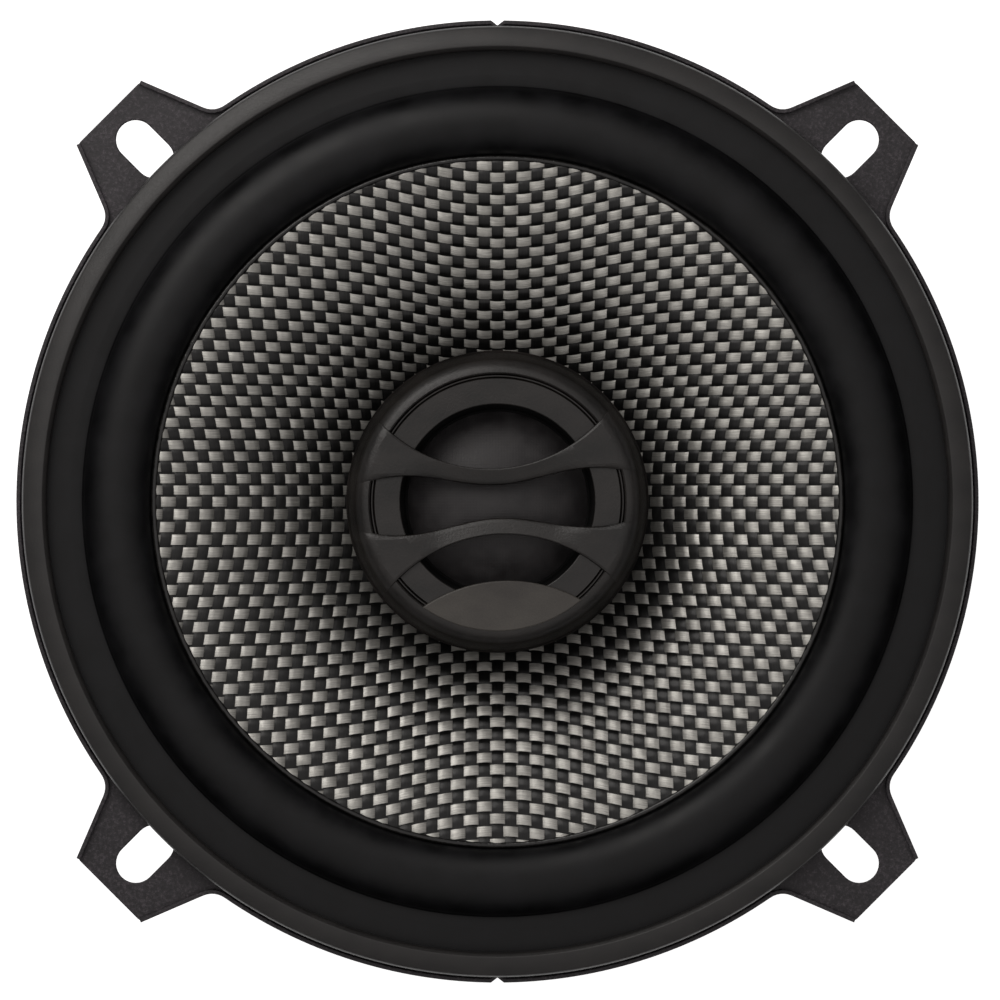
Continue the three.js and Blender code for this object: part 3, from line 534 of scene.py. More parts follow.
def rubber(name, dark, light, roughness, bloom, shine=0.5):
    """Butyl rubber: fine pores and a faint dusty bloom."""
    made = Nodes(name, Specular_IOR_Level=shine, Sheen_Weight=bloom, Sheen_Roughness=0.6)
    at = made.place()
    pores = made.noise(at, 0.16, 4, 0.65)
    dust = made.noise(at, 5.0, 4, 0.6)
    made.colours(dust, [(0.38, dark), (0.66, light)])
    made.set("Roughness", made.between(dust, roughness - 0.07, roughness + 0.08))
    made.bump(pores, 0.012)
    return made.material


def tow(name, dark, middle, light, roughness, relief, coat, metallic):
    """A flat bundle of fibres, whose shine spreads across them: thin streaks and slow changes of tone."""
    made = Nodes(name, Metallic=metallic, Coat_Weight=coat, Coat_Roughness=0.2, Anisotropic=0.9,
                 Anisotropic_Rotation=0.25)
    made.set("Tangent", made.add("Tangent", direction_type="UV_MAP", uv_map="map").outputs["Tangent"])
    streaks = made.map_noise(0.35, 14.0, 3, 0.6)
    fibres = made.map_noise(0.7, 46.0, 2, 0.6)
    tone = made.map_noise(0.30, 0.30, 2, 0.5)
    mixed = made.weighted((streaks, 0.45), (fibres, 0.25), (tone, 0.30))
    made.colours(mixed, [(0.36, dark), (0.50, middle), (0.63, light)])
    made.set("Roughness", made.between(streaks, roughness - 0.06, roughness + 0.10))
    made.bump(fibres, relief)
    made.bump(streaks, relief * 1.5, 0.6)
    return made.material


def cone_resin():
    """Dark resin between the tows, glossy in the small hollows."""
    made = Nodes("cone_resin")
    at = made.place()
    haze = made.noise(at, 1.4, 3)
    made.colours(haze, [(0.35, (0.006, 0.006, 0.006)), (0.68, (0.020, 0.019, 0.018))])
    made.set("Roughness", made.between(haze, 0.34, 0.52))
    made.bump(made.cells(at, 1.2), 0.05)
    return made.material


def edge_adhesive():
    """Glossy black glue, a little lumpy."""
    made = Nodes("edge_adhesive", Roughness=0.16)
    lumps = made.noise(made.place(), 1.5, 3)
    made.colours(lumps, [(0.3, (0.004, 0.004, 0.004)), (0.7, (0.018, 0.017, 0.016))])
    made.bump(lumps, 0.12)
    return made.material


def spider_cloth():
    """Phenolic-stiffened woven cloth in a toasted yellow."""
    made = Nodes("spider_cloth", Roughness=0.85)
    threads = made.plain_weave(made.place("UV"), 1.1, Distortion=0.6, Detail=2.0)
    stain = made.noise(made.place(), 6.0, 3)
    made.colours(made.weighted((threads, 0.5), (stain, 0.6)), [
        (0.20, (0.18, 0.095, 0.030)), (0.50, (0.42, 0.26, 0.10)), (0.85, (0.62, 0.44, 0.20))])
    made.bump(threads, 0.10)
    return made.material


def coil_former_film():
    """Amber polyimide film with faint winding marks."""
    made = Nodes("coil_former_film", Coat_Weight=0.4)
    made.mottle(made.map_noise(0.05, 4.0, 2), [
        (0.35, (0.16, 0.065, 0.012)), (0.65, (0.34, 0.15, 0.030))], 0.28, 0.40, 0.01)
    return made.material


def metal(name, dark, light, roughness, streak=(0.03, 6.0), relief=0.006):
    """Turned or drawn metal: fine tool lines along one way and a slow uneven tarnish."""
    made = Nodes(name, Metallic=1.0)
    lines = made.map_noise(*streak, 4, 0.7)
    stain = made.noise(made.place(), 8.0, 4, 0.6)
    mixed = made.weighted((lines, 0.35), (stain, 0.65))
    made.colours(mixed, [(0.35, dark), (0.65, light)])
    made.set("Roughness", made.between(mixed, roughness - 0.08, roughness + 0.12))
    made.bump(lines, relief)
    return made.material


def ferrite_ceramic():
    """Sintered ferrite: dull charcoal with grinding grit and small pits."""
    made = Nodes("ferrite_ceramic")
    at = made.place()
    grit = made.noise(at, 0.35, 5, 0.7)
    pits = made.cells(at, 1.6)
    made.mottle(grit, [
        (0.35, (0.022, 0.022, 0.024)), (0.52, (0.048, 0.048, 0.052)), (0.70, (0.095, 0.095, 0.10))],
        0.55, 0.78, 0.05)
    made.bump(made.between(pits, 0.0, 1.0, 0.0, 0.22), 0.05)
    return made.material


def dome_silk():
    """Coated silk: a very fine plain weave under a tacky dark coat."""
    made = Nodes("dome_silk", Sheen_Weight=0.12, Sheen_Roughness=0.5)
    threads = made.plain_weave(made.stretched(made.place(), (1 / MM, 1 / MM, 1 / MM)), 1.5, Distortion=0.4)
    coat = made.noise(made.place(), 2.5, 3)
    made.colours(coat, [(0.35, (0.016, 0.014, 0.015)), (0.68, (0.034, 0.031, 0.032))])
    made.set("Roughness", made.between(coat, 0.44, 0.60))
    made.bump(threads, 0.02)
    return made.material


def board_laminate():
    """Brown paper laminate with pressed fibres."""
    made = Nodes("board_laminate")
    at = made.place()
    fibres = made.noise(made.stretched(at, (1.0, 0.25, 1.0)), 0.5, 5, 0.65)
    made.mottle(fibres, [
        (0.35, (0.075, 0.030, 0.010)), (0.52, (0.15, 0.070, 0.026)), (0.70, (0.24, 0.13, 0.055))],
        0.42, 0.60, 0.02)
    return made.material


def shrink_sleeve():
    """Dark blue PVC sleeve with a paler stripe down one side."""
    made = Nodes("shrink_sleeve", Coat_Weight=0.25)
    wrinkle = made.map_noise(0.5, 0.2, 3)
    across = made.add("SeparateXYZ", {"Vector": made.place("UV")}).outputs["X"]
    stripe = made.math("MULTIPLY", made.math("GREATER_THAN", across, 3.0),
                       made.math("LESS_THAN", across, 7.0))
    made.colours(made.weighted((wrinkle, 0.3), (stripe, 0.6)), [
        (0.10, (0.010, 0.020, 0.075)), (0.30, (0.018, 0.034, 0.12)), (0.75, (0.30, 0.36, 0.46))])
    made.set("Roughness", made.between(wrinkle, 0.28, 0.44))
    made.bump(wrinkle, 0.03)
    return made.material


def insulation(name, dark, light):
    """Soft PVC insulation, slightly mottled."""
    made = Nodes(name)
    made.mottle(made.noise(made.place(), 1.2, 3), [(0.35, dark), (0.65, light)], 0.36, 0.52, 0.015)
    return made.material


def braid():
    """Fine copper and tinsel threads braided to and fro."""
    made = Nodes("braid", Metallic=0.75)
    turned = made.add("Mapping", {"Vector": made.place("UV"), "Rotation": (0, 0, math.radians(38))})
    threads = made.add("TexWave", {
        "Vector": turned.outputs["Vector"], "Scale": 2.6, "Distortion": 0.5}).outputs["Fac"]
    made.colours(threads, [(0.15, (0.16, 0.085, 0.045)), (0.75, (0.62, 0.47, 0.30))])
    made.set("Roughness", made.between(threads, 0.55, 0.35, 0.0, 1.0))
    made.bump(threads, 0.05)
    return made.material


# ---------------------------------------------------------------- basket


def bezier(start, corner, end, steps=6):
    start, corner, end = Vector(start), Vector(corner), Vector(end)
    return [tuple(start * (1 - t) ** 2 + corner * 2 * t * (1 - t) + end * t ** 2)
            for t in (step / steps for step in range(steps + 1))]


def rim_stretch(ear):
    """The flange's edge from one ear's outer end, round a quarter of the rim, to the next ear's."""
    fillet = 1.8
    notch_half = 0.9 / RIM_R
    notch_depth = 0.7
    base_u = math.sqrt(RIM_R ** 2 - EAR_BASE_HALF ** 2)
    next_ear = ear + math.pi / 2
    base_angle = math.asin(EAR_BASE_HALF / RIM_R) + fillet / RIM_R
    leaving = [polar(ear, EAR_REACH, EAR_END_HALF), polar(ear, base_u, EAR_BASE_HALF)]
    arriving = [polar(next_ear, base_u, -EAR_BASE_HALF), polar(next_ear, EAR_REACH, -EAR_END_HALF)]
    start, end = ear + base_angle, next_ear - base_angle
    climb = [tuple(Vector(base) + (Vector(tip) - Vector(base)).normalized() * fillet)
             for base, tip in ((leaving[1], leaving[0]), (arriving[0], arriving[1]))]
    path = [leaving[0]] + bezier(climb[0], leaving[1], polar(start, RIM_R))
    middle = (start + end) / 2
    notched = abs(math.cos(middle)) < 0.1
    for angle in np.linspace(start, end, 61)[1:-1]:
        if not (notched and abs(angle - middle) < 1.5 * notch_half):
            path.append(polar(angle, RIM_R))
        elif abs(angle - middle) < 1e-9:
            path += [polar(middle - notch_half, RIM_R), polar(middle, RIM_R - notch_depth),
                     polar(middle + notch_half, RIM_R)]
    return path + bezier(polar(end, RIM_R), arriving[0], climb[1]) + [arriving[1]]


def slot_outline(ear):
    ends = ((SLOT_OUTER_R - SLOT_HALF, -90), (SLOT_INNER_R + SLOT_HALF, 90))
    points = []
    for along, first in ends:
        for turn in np.radians(np.linspace(first, first + 180, 17)):
            points.append(polar(ear, along + SLOT_HALF * math.cos(turn), SLOT_HALF * math.sin(turn)))
    return points


def flange():
    edge = [point for ear in DIAGONALS for point in rim_stretch(ear)]
    edge = eased(edge, 0.7, 3)
    holes = [circle(SEAT_R + 0.5, points=240)] + [slot_outline(ear) for ear in DIAGONALS]
    return plate([edge, *holes], FLANGE_Z - STEEL, FLANGE_Z, "flange", 0.18)


def raised_lip(ear):
    """The thin lip along a quarter of the rim and the slanted sides of the ears beside it."""
    outer = np.array(rim_stretch(ear))
    along = np.gradient(outer, axis=0)
    along /= np.maximum(np.linalg.norm(along, axis=1), 1e-9)[:, None]
    inner = outer + LIP_WIDTH * np.column_stack([-along[:, 1], along[:, 0]])
    outline = [tuple(p) for p in outer] + [tuple(p) for p in inner[::-1]]
    return plate([outline], FLANGE_Z - 0.5, LIP_TOP_Z, "lip", 0.14)


def window_outline(middle):
    """A basket window seen from the front: two arcs joined by straight sides, with rounded corners."""
    inner_r, outer_r, foot_r, shoulder_r = 41.0, 54.4, 42.6, 51.4
    start, end = middle - math.radians(29), middle + math.radians(29)
    corner, foot = math.radians(3.5), math.radians(2.0)
    points = [polar(a, outer_r) for a in np.linspace(start + corner, end - corner, 41)]
    points += bezier(points[-1], polar(end, outer_r), polar(end, shoulder_r))[1:]
    points += bezier(polar(end, foot_r), polar(end, inner_r), polar(end - foot, inner_r))
    points += [polar(a, inner_r) for a in np.linspace(end - foot, start + foot, 39)[1:-1]]
    points += bezier(polar(start + foot, inner_r), polar(start, inner_r), polar(start, foot_r))
    return points + bezier(polar(start, shoulder_r), polar(start, outer_r), points[0])[:-1]


def terminal_point(along, across):
    return polar(TERMINAL_ANGLE, along, across)


def terminal_box(near, far, across, half):
    """Corners of a rectangle that points the terminals' way, with its middle line this far aside."""
    return [terminal_point(along, across + aside) for along, aside in
            ((near, -half), (far, -half), (far, half), (near, half))]


def rivet_holes(bottom, top):
    """Cutters for the holes of the four rivets that join basket and top plate."""
    return [prism(circle(BASKET_RIVET_HOLE_R, polar(angle, BASKET_RIVET_R)), bottom, top, "hole")
            for angle in QUARTERS]


def bowl():
    """The pressed dish: floor, spider shelf and side wall, with windows, rivet holes and lead slots."""
    corner = 1.6
    floor_z = heights("basket")[0] + STEEL
    shelf_z = 27.0
    line = [(22.5, floor_z), (30.2, floor_z), (31.0, shelf_z), (39.0, shelf_z),
            (55.5, FLANGE_Z - 8.4), (SEAT_R, FLANGE_Z - 0.05)]
    front = [line[0]]
    for before, at, after in zip(line, line[1:], line[2:]):
        before, at, after = Vector(before), Vector(at), Vector(after)
        back, onward = before - at, after - at
        reach = min(corner, 0.45 * back.length, 0.45 * onward.length)
        front += bezier(at + back.normalized() * reach, at, at + onward.normalized() * reach, 5)
    front.append(line[-1])
    dish = lathe(sheet(front, STEEL), "bowl", 240)
    cutters = [prism(window_outline(middle), floor_z, FLANGE_Z - 2, "window") for middle in QUARTERS]
    cutters += rivet_holes(floor_z - 3, floor_z + 2)
    for side in (-1, 1):
        hole = circle(BOARD_RIVET_HOLE_R, terminal_point(BOARD_RIVET_R, side * BOARD_RIVET_OFFSET))
        cutters.append(prism(hole, shelf_z - 3, shelf_z + 2, "hole"))
        slot = terminal_box(TAB_LEG_R, TAB_LEG_R + 5, side * TAB_OFFSET, 2.2)
        cutters.append(prism(eased(slot, 0.9), shelf_z - 1, shelf_z + 19, "slot"))
    return cut(dish, cutters, "bowl")


def build_basket(coat):
    parts = [flange(), *(raised_lip(ear) for ear in DIAGONALS), bowl()]
    pressed = joined(parts, "pressed_basket")
    show("pressed_basket", pressed, coat, "basket")


# ---------------------------------------------------------------- cone, surround, spider


def cone_height(radius):
    depth = (CONE_R - radius) / (CONE_R - NECK_R)
    return SURROUND_Z - CONE_DEPTH * ((1 - CONE_CURVE) * depth + CONE_CURVE * depth ** 2)


def cone_slope(radius):
    depth = (CONE_R - radius) / (CONE_R - NECK_R)
    return CONE_DEPTH / (CONE_R - NECK_R) * ((1 - CONE_CURVE) + 2 * CONE_CURVE * depth)


def drape_height(radius):
    """The cone's front, closed by a round bottom inside DRAPE_R, where the cloth was first laid."""
    slope = cone_slope(DRAPE_R)
    inside = cone_height(DRAPE_R) - slope / (2 * DRAPE_R) * (DRAPE_R ** 2 - radius ** 2)
    return np.where(radius < DRAPE_R, inside, cone_height(radius))


def drape_slope(radius):
    return np.where(radius < DRAPE_R, cone_slope(DRAPE_R) * radius / DRAPE_R, cone_slope(radius))


def radius_at_arc(lengths):
    """Radius at which the drape's arc from the middle has each length."""
    radii = np.linspace(0, 75, 3001)
    steps = np.sqrt(1 + drape_slope(radii) ** 2)
    arcs = np.concatenate([[0.0], np.cumsum((steps[1:] + steps[:-1]) / 2 * np.diff(radii))])
    return np.interp(lengths, arcs, radii)


def next_crossing(left, below, glass_pitch, guess):
    """The crossing one carbon pitch from its left neighbour and one glass pitch from the one below."""
    x, y = guess
    for _ in range(12):
        radius = math.hypot(x, y)
        z = float(drape_height(radius))
        slope = float(drape_slope(radius))
        zx, zy = slope * x / radius, slope * y / radius
        rows, errors = [], []
        for (ox, oy, oz), pitch in ((left, CARBON_PITCH), (below, glass_pitch)):
            dx, dy, dz = x - ox, y - oy, z - oz
            errors.append(dx * dx + dy * dy + dz * dz - pitch ** 2)
            rows.append((2 * (dx + dz * zx), 2 * (dy + dz * zy)))
        step = np.linalg.solve(np.array(rows), np.array(errors))
        x, y = x - step[0], y - step[1]
        if abs(step[0]) + abs(step[1]) < 1e-7:
            break
    return x, y


def quarter_net(count, glass_pitch):
    """Crossings of the cloth over a quarter of the cone, worked out from its two middle threads."""
    quarter = np.zeros((count + 1, count + 1, 2))
    steps = np.arange(count + 1)
    quarter[:, 0, 0] = radius_at_arc(steps * CARBON_PITCH)
    quarter[0, :, 1] = radius_at_arc(steps * glass_pitch)

    def place(at):
        return (*at, float(drape_height(math.hypot(*at))))

    for i in range(1, count + 1):
        for j in range(1, count + 1):
            left, below, corner = quarter[i - 1, j], quarter[i, j - 1], quarter[i - 1, j - 1]
            quarter[i, j] = next_crossing(place(left), place(below), glass_pitch, left + below - corner)
    return quarter


def weave_net(count):
    """Crossings of a cloth laid over the cone, whose threads slide at their crossings but never stretch."""
    signs = np.arange(-count, count + 1)
    above, below = quarter_net(count, GLASS_PITCH_ABOVE), quarter_net(count, GLASS_PITCH_BELOW)
    net = np.where((signs > 0)[None, :, None], above[np.abs(signs)][:, np.abs(signs)],
                   below[np.abs(signs)][:, np.abs(signs)])
    net[:, :, 0] *= np.sign(signs)[:, None]
    net[:, :, 1] *= np.sign(signs)[None, :]
    return net


def along_net(net, u, v):
    """Smooth places between the crossings: u counts carbon tows from the middle, v counts glass tows."""
    count = net.shape[0] // 2

    def weights(t):
        return np.stack([
            -0.5 * t ** 3 + t ** 2 - 0.5 * t, 1.5 * t ** 3 - 2.5 * t ** 2 + 1,
            -1.5 * t ** 3 + 2 * t ** 2 + 0.5 * t, 0.5 * t ** 3 - 0.5 * t ** 2])

    i, j = np.floor(u).astype(int), np.floor(v).astype(int)
    wu, wv = weights(u - i), weights(v - j)
    place = np.zeros((*u.shape, 2))
    for a in range(4):
        for b in range(4):
            row = np.clip(i + a - 1 + count, 0, 2 * count)
            column = np.clip(j + b - 1 + count, 0, 2 * count)
            place += (wu[a] * wv[b])[..., None] * net[row, column]
    return place


def tows(net, along_x, name):
    """All tows of one direction as thin crowned ribbons that pass over and under the other direction."""
    steps_per_crossing = 6
    half_width = GLASS_HALF_WIDTH if along_x else CARBON_HALF_WIDTH
    outer_r, inner_r = CONE_R - 0.25, NECK_R + 0.5
    count = net.shape[0] // 2 - 2
    pitch = CARBON_PITCH if along_x else GLASS_PITCH_BELOW
    lateral = np.array([-1.0, -0.6, 0.0, 0.6, 1.0])
    width = len(lateral)
    run = np.linspace(-count, count, 2 * count * steps_per_crossing + 1)
    points, places, faces = [], [], []
    for line in range(-count, count + 1):
        along, sideways = np.meshgrid(run, line + half_width * lateral, indexing="ij")
        at = along_net(net, along, sideways) if along_x else along_net(net, sideways, along)
        radius = np.hypot(at[..., 0], at[..., 1])
        phase = 0 if along_x else 1
        wave = np.cos(math.pi * (along + line + phase))
        lift = WEAVE_LIFT * np.clip(1.35 * wave, -1, 1)
        lift = lift + TOW_CROWN * (1 - lateral ** 2)[None, :]
        held = np.clip(radius, inner_r, outer_r)
        at = at * (held / np.maximum(radius, 1e-9))[..., None]
        slope = drape_slope(held)
        tilt = np.sqrt(1 + slope ** 2)
        outward = at / held[..., None]
        solid = np.empty((*held.shape, 3))
        solid[..., :2] = at - outward * (lift * slope / tilt)[..., None]
        solid[..., 2] = drape_height(held) + lift / tilt
        inside = (radius > inner_r) & (radius < outer_r)
        used = (inside[:-1, :-1] | inside[1:, :-1] | inside[:-1, 1:] | inside[1:, 1:])
        rows, columns = np.nonzero(used)
        corner = len(points) * held.size + rows * width + columns
        faces.append(np.stack([corner, corner + width, corner + width + 1, corner + 1], axis=1))
        points.append(solid.reshape(-1, 3))
        places.append(np.stack([(along * pitch + 37.0 * line).ravel(), (sideways * pitch).ravel()], axis=1))
    faces = np.concatenate(faces)
    if not along_x:
        faces = faces[:, ::-1]
    kept, renumbered = np.unique(faces, return_inverse=True)
    mesh = bpy.data.meshes.new(name)
    mesh.from_pydata((np.concatenate(points)[kept] * MM).tolist(), [], renumbered.reshape(-1, 4).tolist())
    layer = mesh.uv_layers.new(name="map")
    corners = np.empty(len(mesh.loops), int)
    mesh.loops.foreach_get("vertex_index", corners)
    layer.data.foreach_set("uv", np.concatenate(places)[kept][corners].ravel())
    mesh.polygons.foreach_set("use_smooth", [True] * len(mesh.polygons))
    return mesh


def build_cone():
    radii = np.linspace(NECK_R, CONE_R, 33)
    front = [(r, float(cone_height(r)) - WEAVE_LIFT - 0.03) for r in radii]
    shell = lathe(eased(sheet(front, CONE_SHEET - WEAVE_LIFT), 0.1), "cone_shell", 192)
    net = weave_net(40)
    glass = tow("glass_tow", (0.26, 0.255, 0.235), (0.50, 0.49, 0.455), (0.86, 0.845, 0.79),
                0.38, 0.012, 0.25, 0.70)
    carbon = tow("carbon_tow", (0.004, 0.004, 0.004), (0.010, 0.010, 0.010), (0.030, 0.029, 0.028),
                 0.36, 0.012, 0.25, 0.4)
    bead = arc(CONE_R - 0.1, SURROUND_Z - 0.05, 0.42, 0.34, 0, 360, 16)[:-1]
    for name, mesh, material in (("cone_shell", shell, cone_resin()),
                                 ("cone_glass_tows", tows(net, True, "glass"), glass),
                                 ("cone_carbon_tows", tows(net, False, "carbon"), carbon),
                                 ("cone_edge_adhesive", lathe(bead, "bead", 240), edge_adhesive())):
        show(name, mesh, material, "cone", "cone_assembly")


def share_by_radius(piece):
    """Bakes the piece's place into its mesh, leaving it on no body."""
    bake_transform(piece)


def build_surround(material):
    middle = (ROLL_INNER_R + ROLL_OUTER_R) / 2
    half = (ROLL_OUTER_R - ROLL_INNER_R) / 2
    lip_r = 44.8
    under_cone = CONE_SHEET + 2 * GAP
    lip = [(lip_r, float(cone_height(lip_r)) - under_cone), (46.6, SURROUND_Z - under_cone)]
    roll = arc(middle, SURROUND_Z, half, ROLL_HEIGHT, 176, 4, 40)
    start = [(ROLL_INNER_R - 0.15, SURROUND_Z - CONE_SHEET - GAP),
             (ROLL_INNER_R - 0.02, SURROUND_Z - GAP)]
    groove = [(ROLL_OUTER_R + 0.25, SURROUND_Z - 0.12), (ROLL_OUTER_R + 0.7, SURROUND_Z - 0.04)]
    front = lip + start + roll + groove + [(59.0, SURROUND_Z), (61.0, SURROUND_Z), (SURROUND_R, SURROUND_Z)]
    mesh = lathe(sheet(front, RUBBER), "half_roll_surround", 256, sharp_degrees=50)
    piece = show("half_roll_surround", mesh, material, "surround", body=None)
    share_by_radius(piece)


def build_spider(material):
    outer_r, low, high = span("spider")
    inner_r = bore_of("spider")
    middle = (low + high) / 2
    flat_z = middle + 0.25
    wave_start, wave_end = inner_r + 2.2, outer_r - 3
    radii = np.linspace(wave_start, wave_end, 61)
    turns = 3 * 2 * math.pi * (radii - wave_start) / (wave_end - wave_start)
    waves = [(r, flat_z - 1.1 * math.sin(t)) for r, t in zip(radii, turns)]
    front = [(inner_r, flat_z), (wave_start - 1, flat_z), *waves, (wave_end + 1.5, flat_z),
             (outer_r, flat_z)]
    mesh = lathe(sheet(front, 0.5), "corrugated_spider", 192, sharp_degrees=50)
    piece = show("corrugated_spider", mesh, material, "spider", body=None)
    share_by_radius(piece)


def winding(node, name, turns, material, body, segments, steps):
    """A coil that fills its CAD node, with every turn of its outer layer rounded."""
    outer_r, low, high = span(node)
    inner_r = bore_of(node)
    wire_r = (high - low) / turns / 2
    outline = [(inner_r, low)]
    for turn in range(turns):
        outline += arc(outer_r - wire_r, low + (2 * turn + 1) * wire_r, wire_r, wire_r, -80, 80, steps)
    outline += [(inner_r, high)]
    show(name, lathe(outline, name, segments, sharp_degrees=70), material, node, body)


def build_coil(film, copper):
    outer_r, low, high = span("voice_coil_former")
    inner_r = outer_r - 0.3
    sleeve = [(inner_r, low), (outer_r, low), (outer_r, high), (inner_r, high)]
    show_turned("coil_former", eased(sleeve, 0.08), film, "voice_coil_former",
                body="cone_assembly")
    winding("voice_coil", "coil_winding", 30, copper, "cone_assembly", 144, 5)


# ---------------------------------------------------------------- gasket ring and motor


def build_gasket_ring(material):
    outer_r, low, high = span("front_gasket_ring")
    inner_r = bore_of("front_gasket_ring")
    seat_z = SURROUND_Z + GAP
    fall = 0.62
    face = bezier((outer_r - 0.25, high - fall), ((inner_r + outer_r) / 2, high), (inner_r + 0.6, high), 10)
    outline = [(inner_r, seat_z), (SURROUND_R + GAP, seat_z), (SURROUND_R + GAP, low), (outer_r, low),
               (outer_r, high - fall - 0.35), *face, (inner_r, high - 0.5)]
    show_turned("front_ring", eased(outline, 0.4, 5), material, "front_gasket_ring", 288)


def ring_outline(node):
    """The outline of a ring that fills its CAD node."""
    outer_r, low, high = span(node)
    inner_r = bore_of(node)
    return [(inner_r, low), (outer_r, low), (outer_r, high), (inner_r, high)]


def simple_ring(node, name, material, ease):
    show_turned(name, eased(ring_outline(node), ease), material, node)


def build_motor(steel, ferrite, boot_rubber):
    low, high = heights("top_plate")
    disc = lathe(eased(ring_outline("top_plate"), 0.35), "top_plate_disc")
    drilled = cut(disc, rivet_holes(low - 1, high + 1), "motor_top_plate")
    show("motor_top_plate", drilled, steel, "top_plate")
    simple_ring("ferrite_magnet", "ring_magnet", ferrite, 0.7)
    build_yoke(steel)
    build_boot(boot_rubber)
    for index, angle in enumerate(QUARTERS):
        build_basket_rivet(f"basket_rivet_{index + 1}", f"domed_rivet_{index + 1}", angle, steel)


def build_yoke(steel):
    yoke_r, low, high = span("t_yoke")
    pocket_r, pocket_z = 8.6, low + 3
    plate_z, pole_r, hole_r = low + 4.5, 12.15, 3.3
    outline = [(pocket_r, low), (yoke_r - 1, low), (yoke_r, low + 1), (yoke_r, plate_z), (pole_r, plate_z),
               (pole_r, high), (hole_r, high), (hole_r, pocket_z), (pocket_r, pocket_z)]
    show_turned("pole_and_back_plate", eased(outline, 0.4), steel, "t_yoke")


def build_boot(material):
    """The rubber cup: two moulded ribs round its side and a notch for the tweeter's leads."""
    outer_r, low, high = span("magnet_boot")
    wall, floor, opening_r = 1.6, 2.2, 25.0
    side = []
    for rib_z in (low + 5.5, high - 4.0):
        side += [(outer_r, rib_z - 0.9), (outer_r - 0.35, rib_z - 0.5), (outer_r - 0.35, rib_z + 0.5),
                 (outer_r, rib_z + 0.9)]
    outline = [(opening_r, low), (outer_r - 1.2, low), (outer_r, low + 1.2), *side, (outer_r, high),
               (outer_r - wall, high), (outer_r - wall, low + floor), (opening_r, low + floor)]
    cup = lathe(eased(outline, 0.45), "boot_cup", 216)
    centre = outer_r - 5
    notch = prism(terminal_box(centre - 10, centre + 10, 0, 2.5), low - 1, low + floor + GAP, "notch")
    show("rubber_boot", cut(cup, [notch], "rubber_boot"), material, "magnet_boot")


def build_basket_rivet(node, name, angle, steel):
    low, high = heights(node)
    head_r, shank_r, head = 3.0, 1.5, 1.0
    dome = arc(0, high - head + 0.25, head_r, head - 0.25, 0, 90, 10)
    outline = [(0, low), (shank_r, low), (shank_r, high - head), (head_r - 0.15, high - head), *dome]
    mesh = lathe(outline, "rivet", 48, polar(angle, BASKET_RIVET_R), 40)
    show(name, mesh, steel, node)


# ---------------------------------------------------------------- tweeter


def build_post(plastic, steel):
    """The post under the tweeter, its hollow stud through the pole, the washer and the nut."""
    head_r, low, high = span("tweeter_post")
    bore_r, waist_r, seat_r, spigot_r = 2.6, 6.5, 9.0, 4.3
    spigot_z = heights("tweeter_housing")[0] - GAP
    thread_z = low + 10
    stud_r = 3.0 + GAP
    outline = [(stud_r, low), (head_r, low), (head_r, low + 1.6), (waist_r, low + 4),
               (waist_r, spigot_z - 4), (seat_r, spigot_z - 1.6), (seat_r, spigot_z), (spigot_r, spigot_z),
               (spigot_r, high), (bore_r, high), (bore_r, thread_z), (stud_r, thread_z)]
    show_turned("moulded_post", eased(outline, 0.5), plastic, "tweeter_post", 96)
    stud_r, low, high = span("post_stud")
    hole_r = 1.9
    crests = []
    for z in np.arange(low + 0.4, high - 0.6, 0.5):
        crests += [(stud_r, z), (stud_r - 0.25, z + 0.25)]
    outline = [(hole_r, low), (stud_r - 0.25, low), *crests, (stud_r - 0.25, high), (hole_r, high)]
    thread = lathe(outline, "threaded_stud", 48, sharp_degrees=20)
    show("threaded_stud", thread, steel, "post_stud")
    simple_ring("post_washer", "flat_washer", steel, 0.12)
    low, high = heights("post_nut")
    corners = [polar(math.radians(30 + 60 * k), 5.8) for k in range(6)]
    nut = plate([eased(corners, 0.5, 2), circle(3.3, points=40)], low, high, "hex_nut", 0.25)
    show("hex_nut", nut, steel, "post_nut")


def build_housing(plastic):
    low, high = heights("tweeter_housing")
    bore_r, wall_r, ledge_r, ledge_z, floor = 4.6, 19.2, 17.6, 53.7, 1.6
    outline = [(bore_r, low), (TWEETER_R - 5.9, low), (TWEETER_R - 2.5, low + 2.3),
               (TWEETER_R - 0.4, low + 5.4), (TWEETER_R, high), (wall_r, high), (wall_r, ledge_z),
               (ledge_r, ledge_z), (ledge_r, low + floor + 1.3), (ledge_r - 2, low + floor),
               (bore_r, low + floor)]
    show_turned("tweeter_shell", eased(outline, 0.6, 5), plastic, "tweeter_housing", 160,
                turn=TWEETER_TURN)


def arc_edge(middle, across):
    """Height of a guard bar's outer edge, a round arc, at a distance across from its middle."""
    arc_r = 20.7
    return middle + arc_r - math.sqrt(arc_r ** 2 - across ** 2)


def wave_edge(across):
    """Height of a guard bar's inner edge, one slow wave across the opening."""
    return 2.25 + 0.9 * (1 - math.cos(math.pi * across / 13))


def reach_of(edge, radius):
    """Distance across at which an edge meets a circle."""
    low, high = 0.0, radius
    for _ in range(40):
        middle = (low + high) / 2
        if math.hypot(middle, edge(middle)) < radius:
            low = middle
        else:
            high = middle
    return low


def bezel_height(radius):
    """Height of the bezel's rounded crest and steep outer side at a radius."""
    past_shoulder = max(radius - BEZEL_SHOULDER_R, 0.0)
    return TWEETER_FRONT_Z - 0.3 * (radius - BEZEL_CREST_R) ** 2 - past_shoulder ** 2


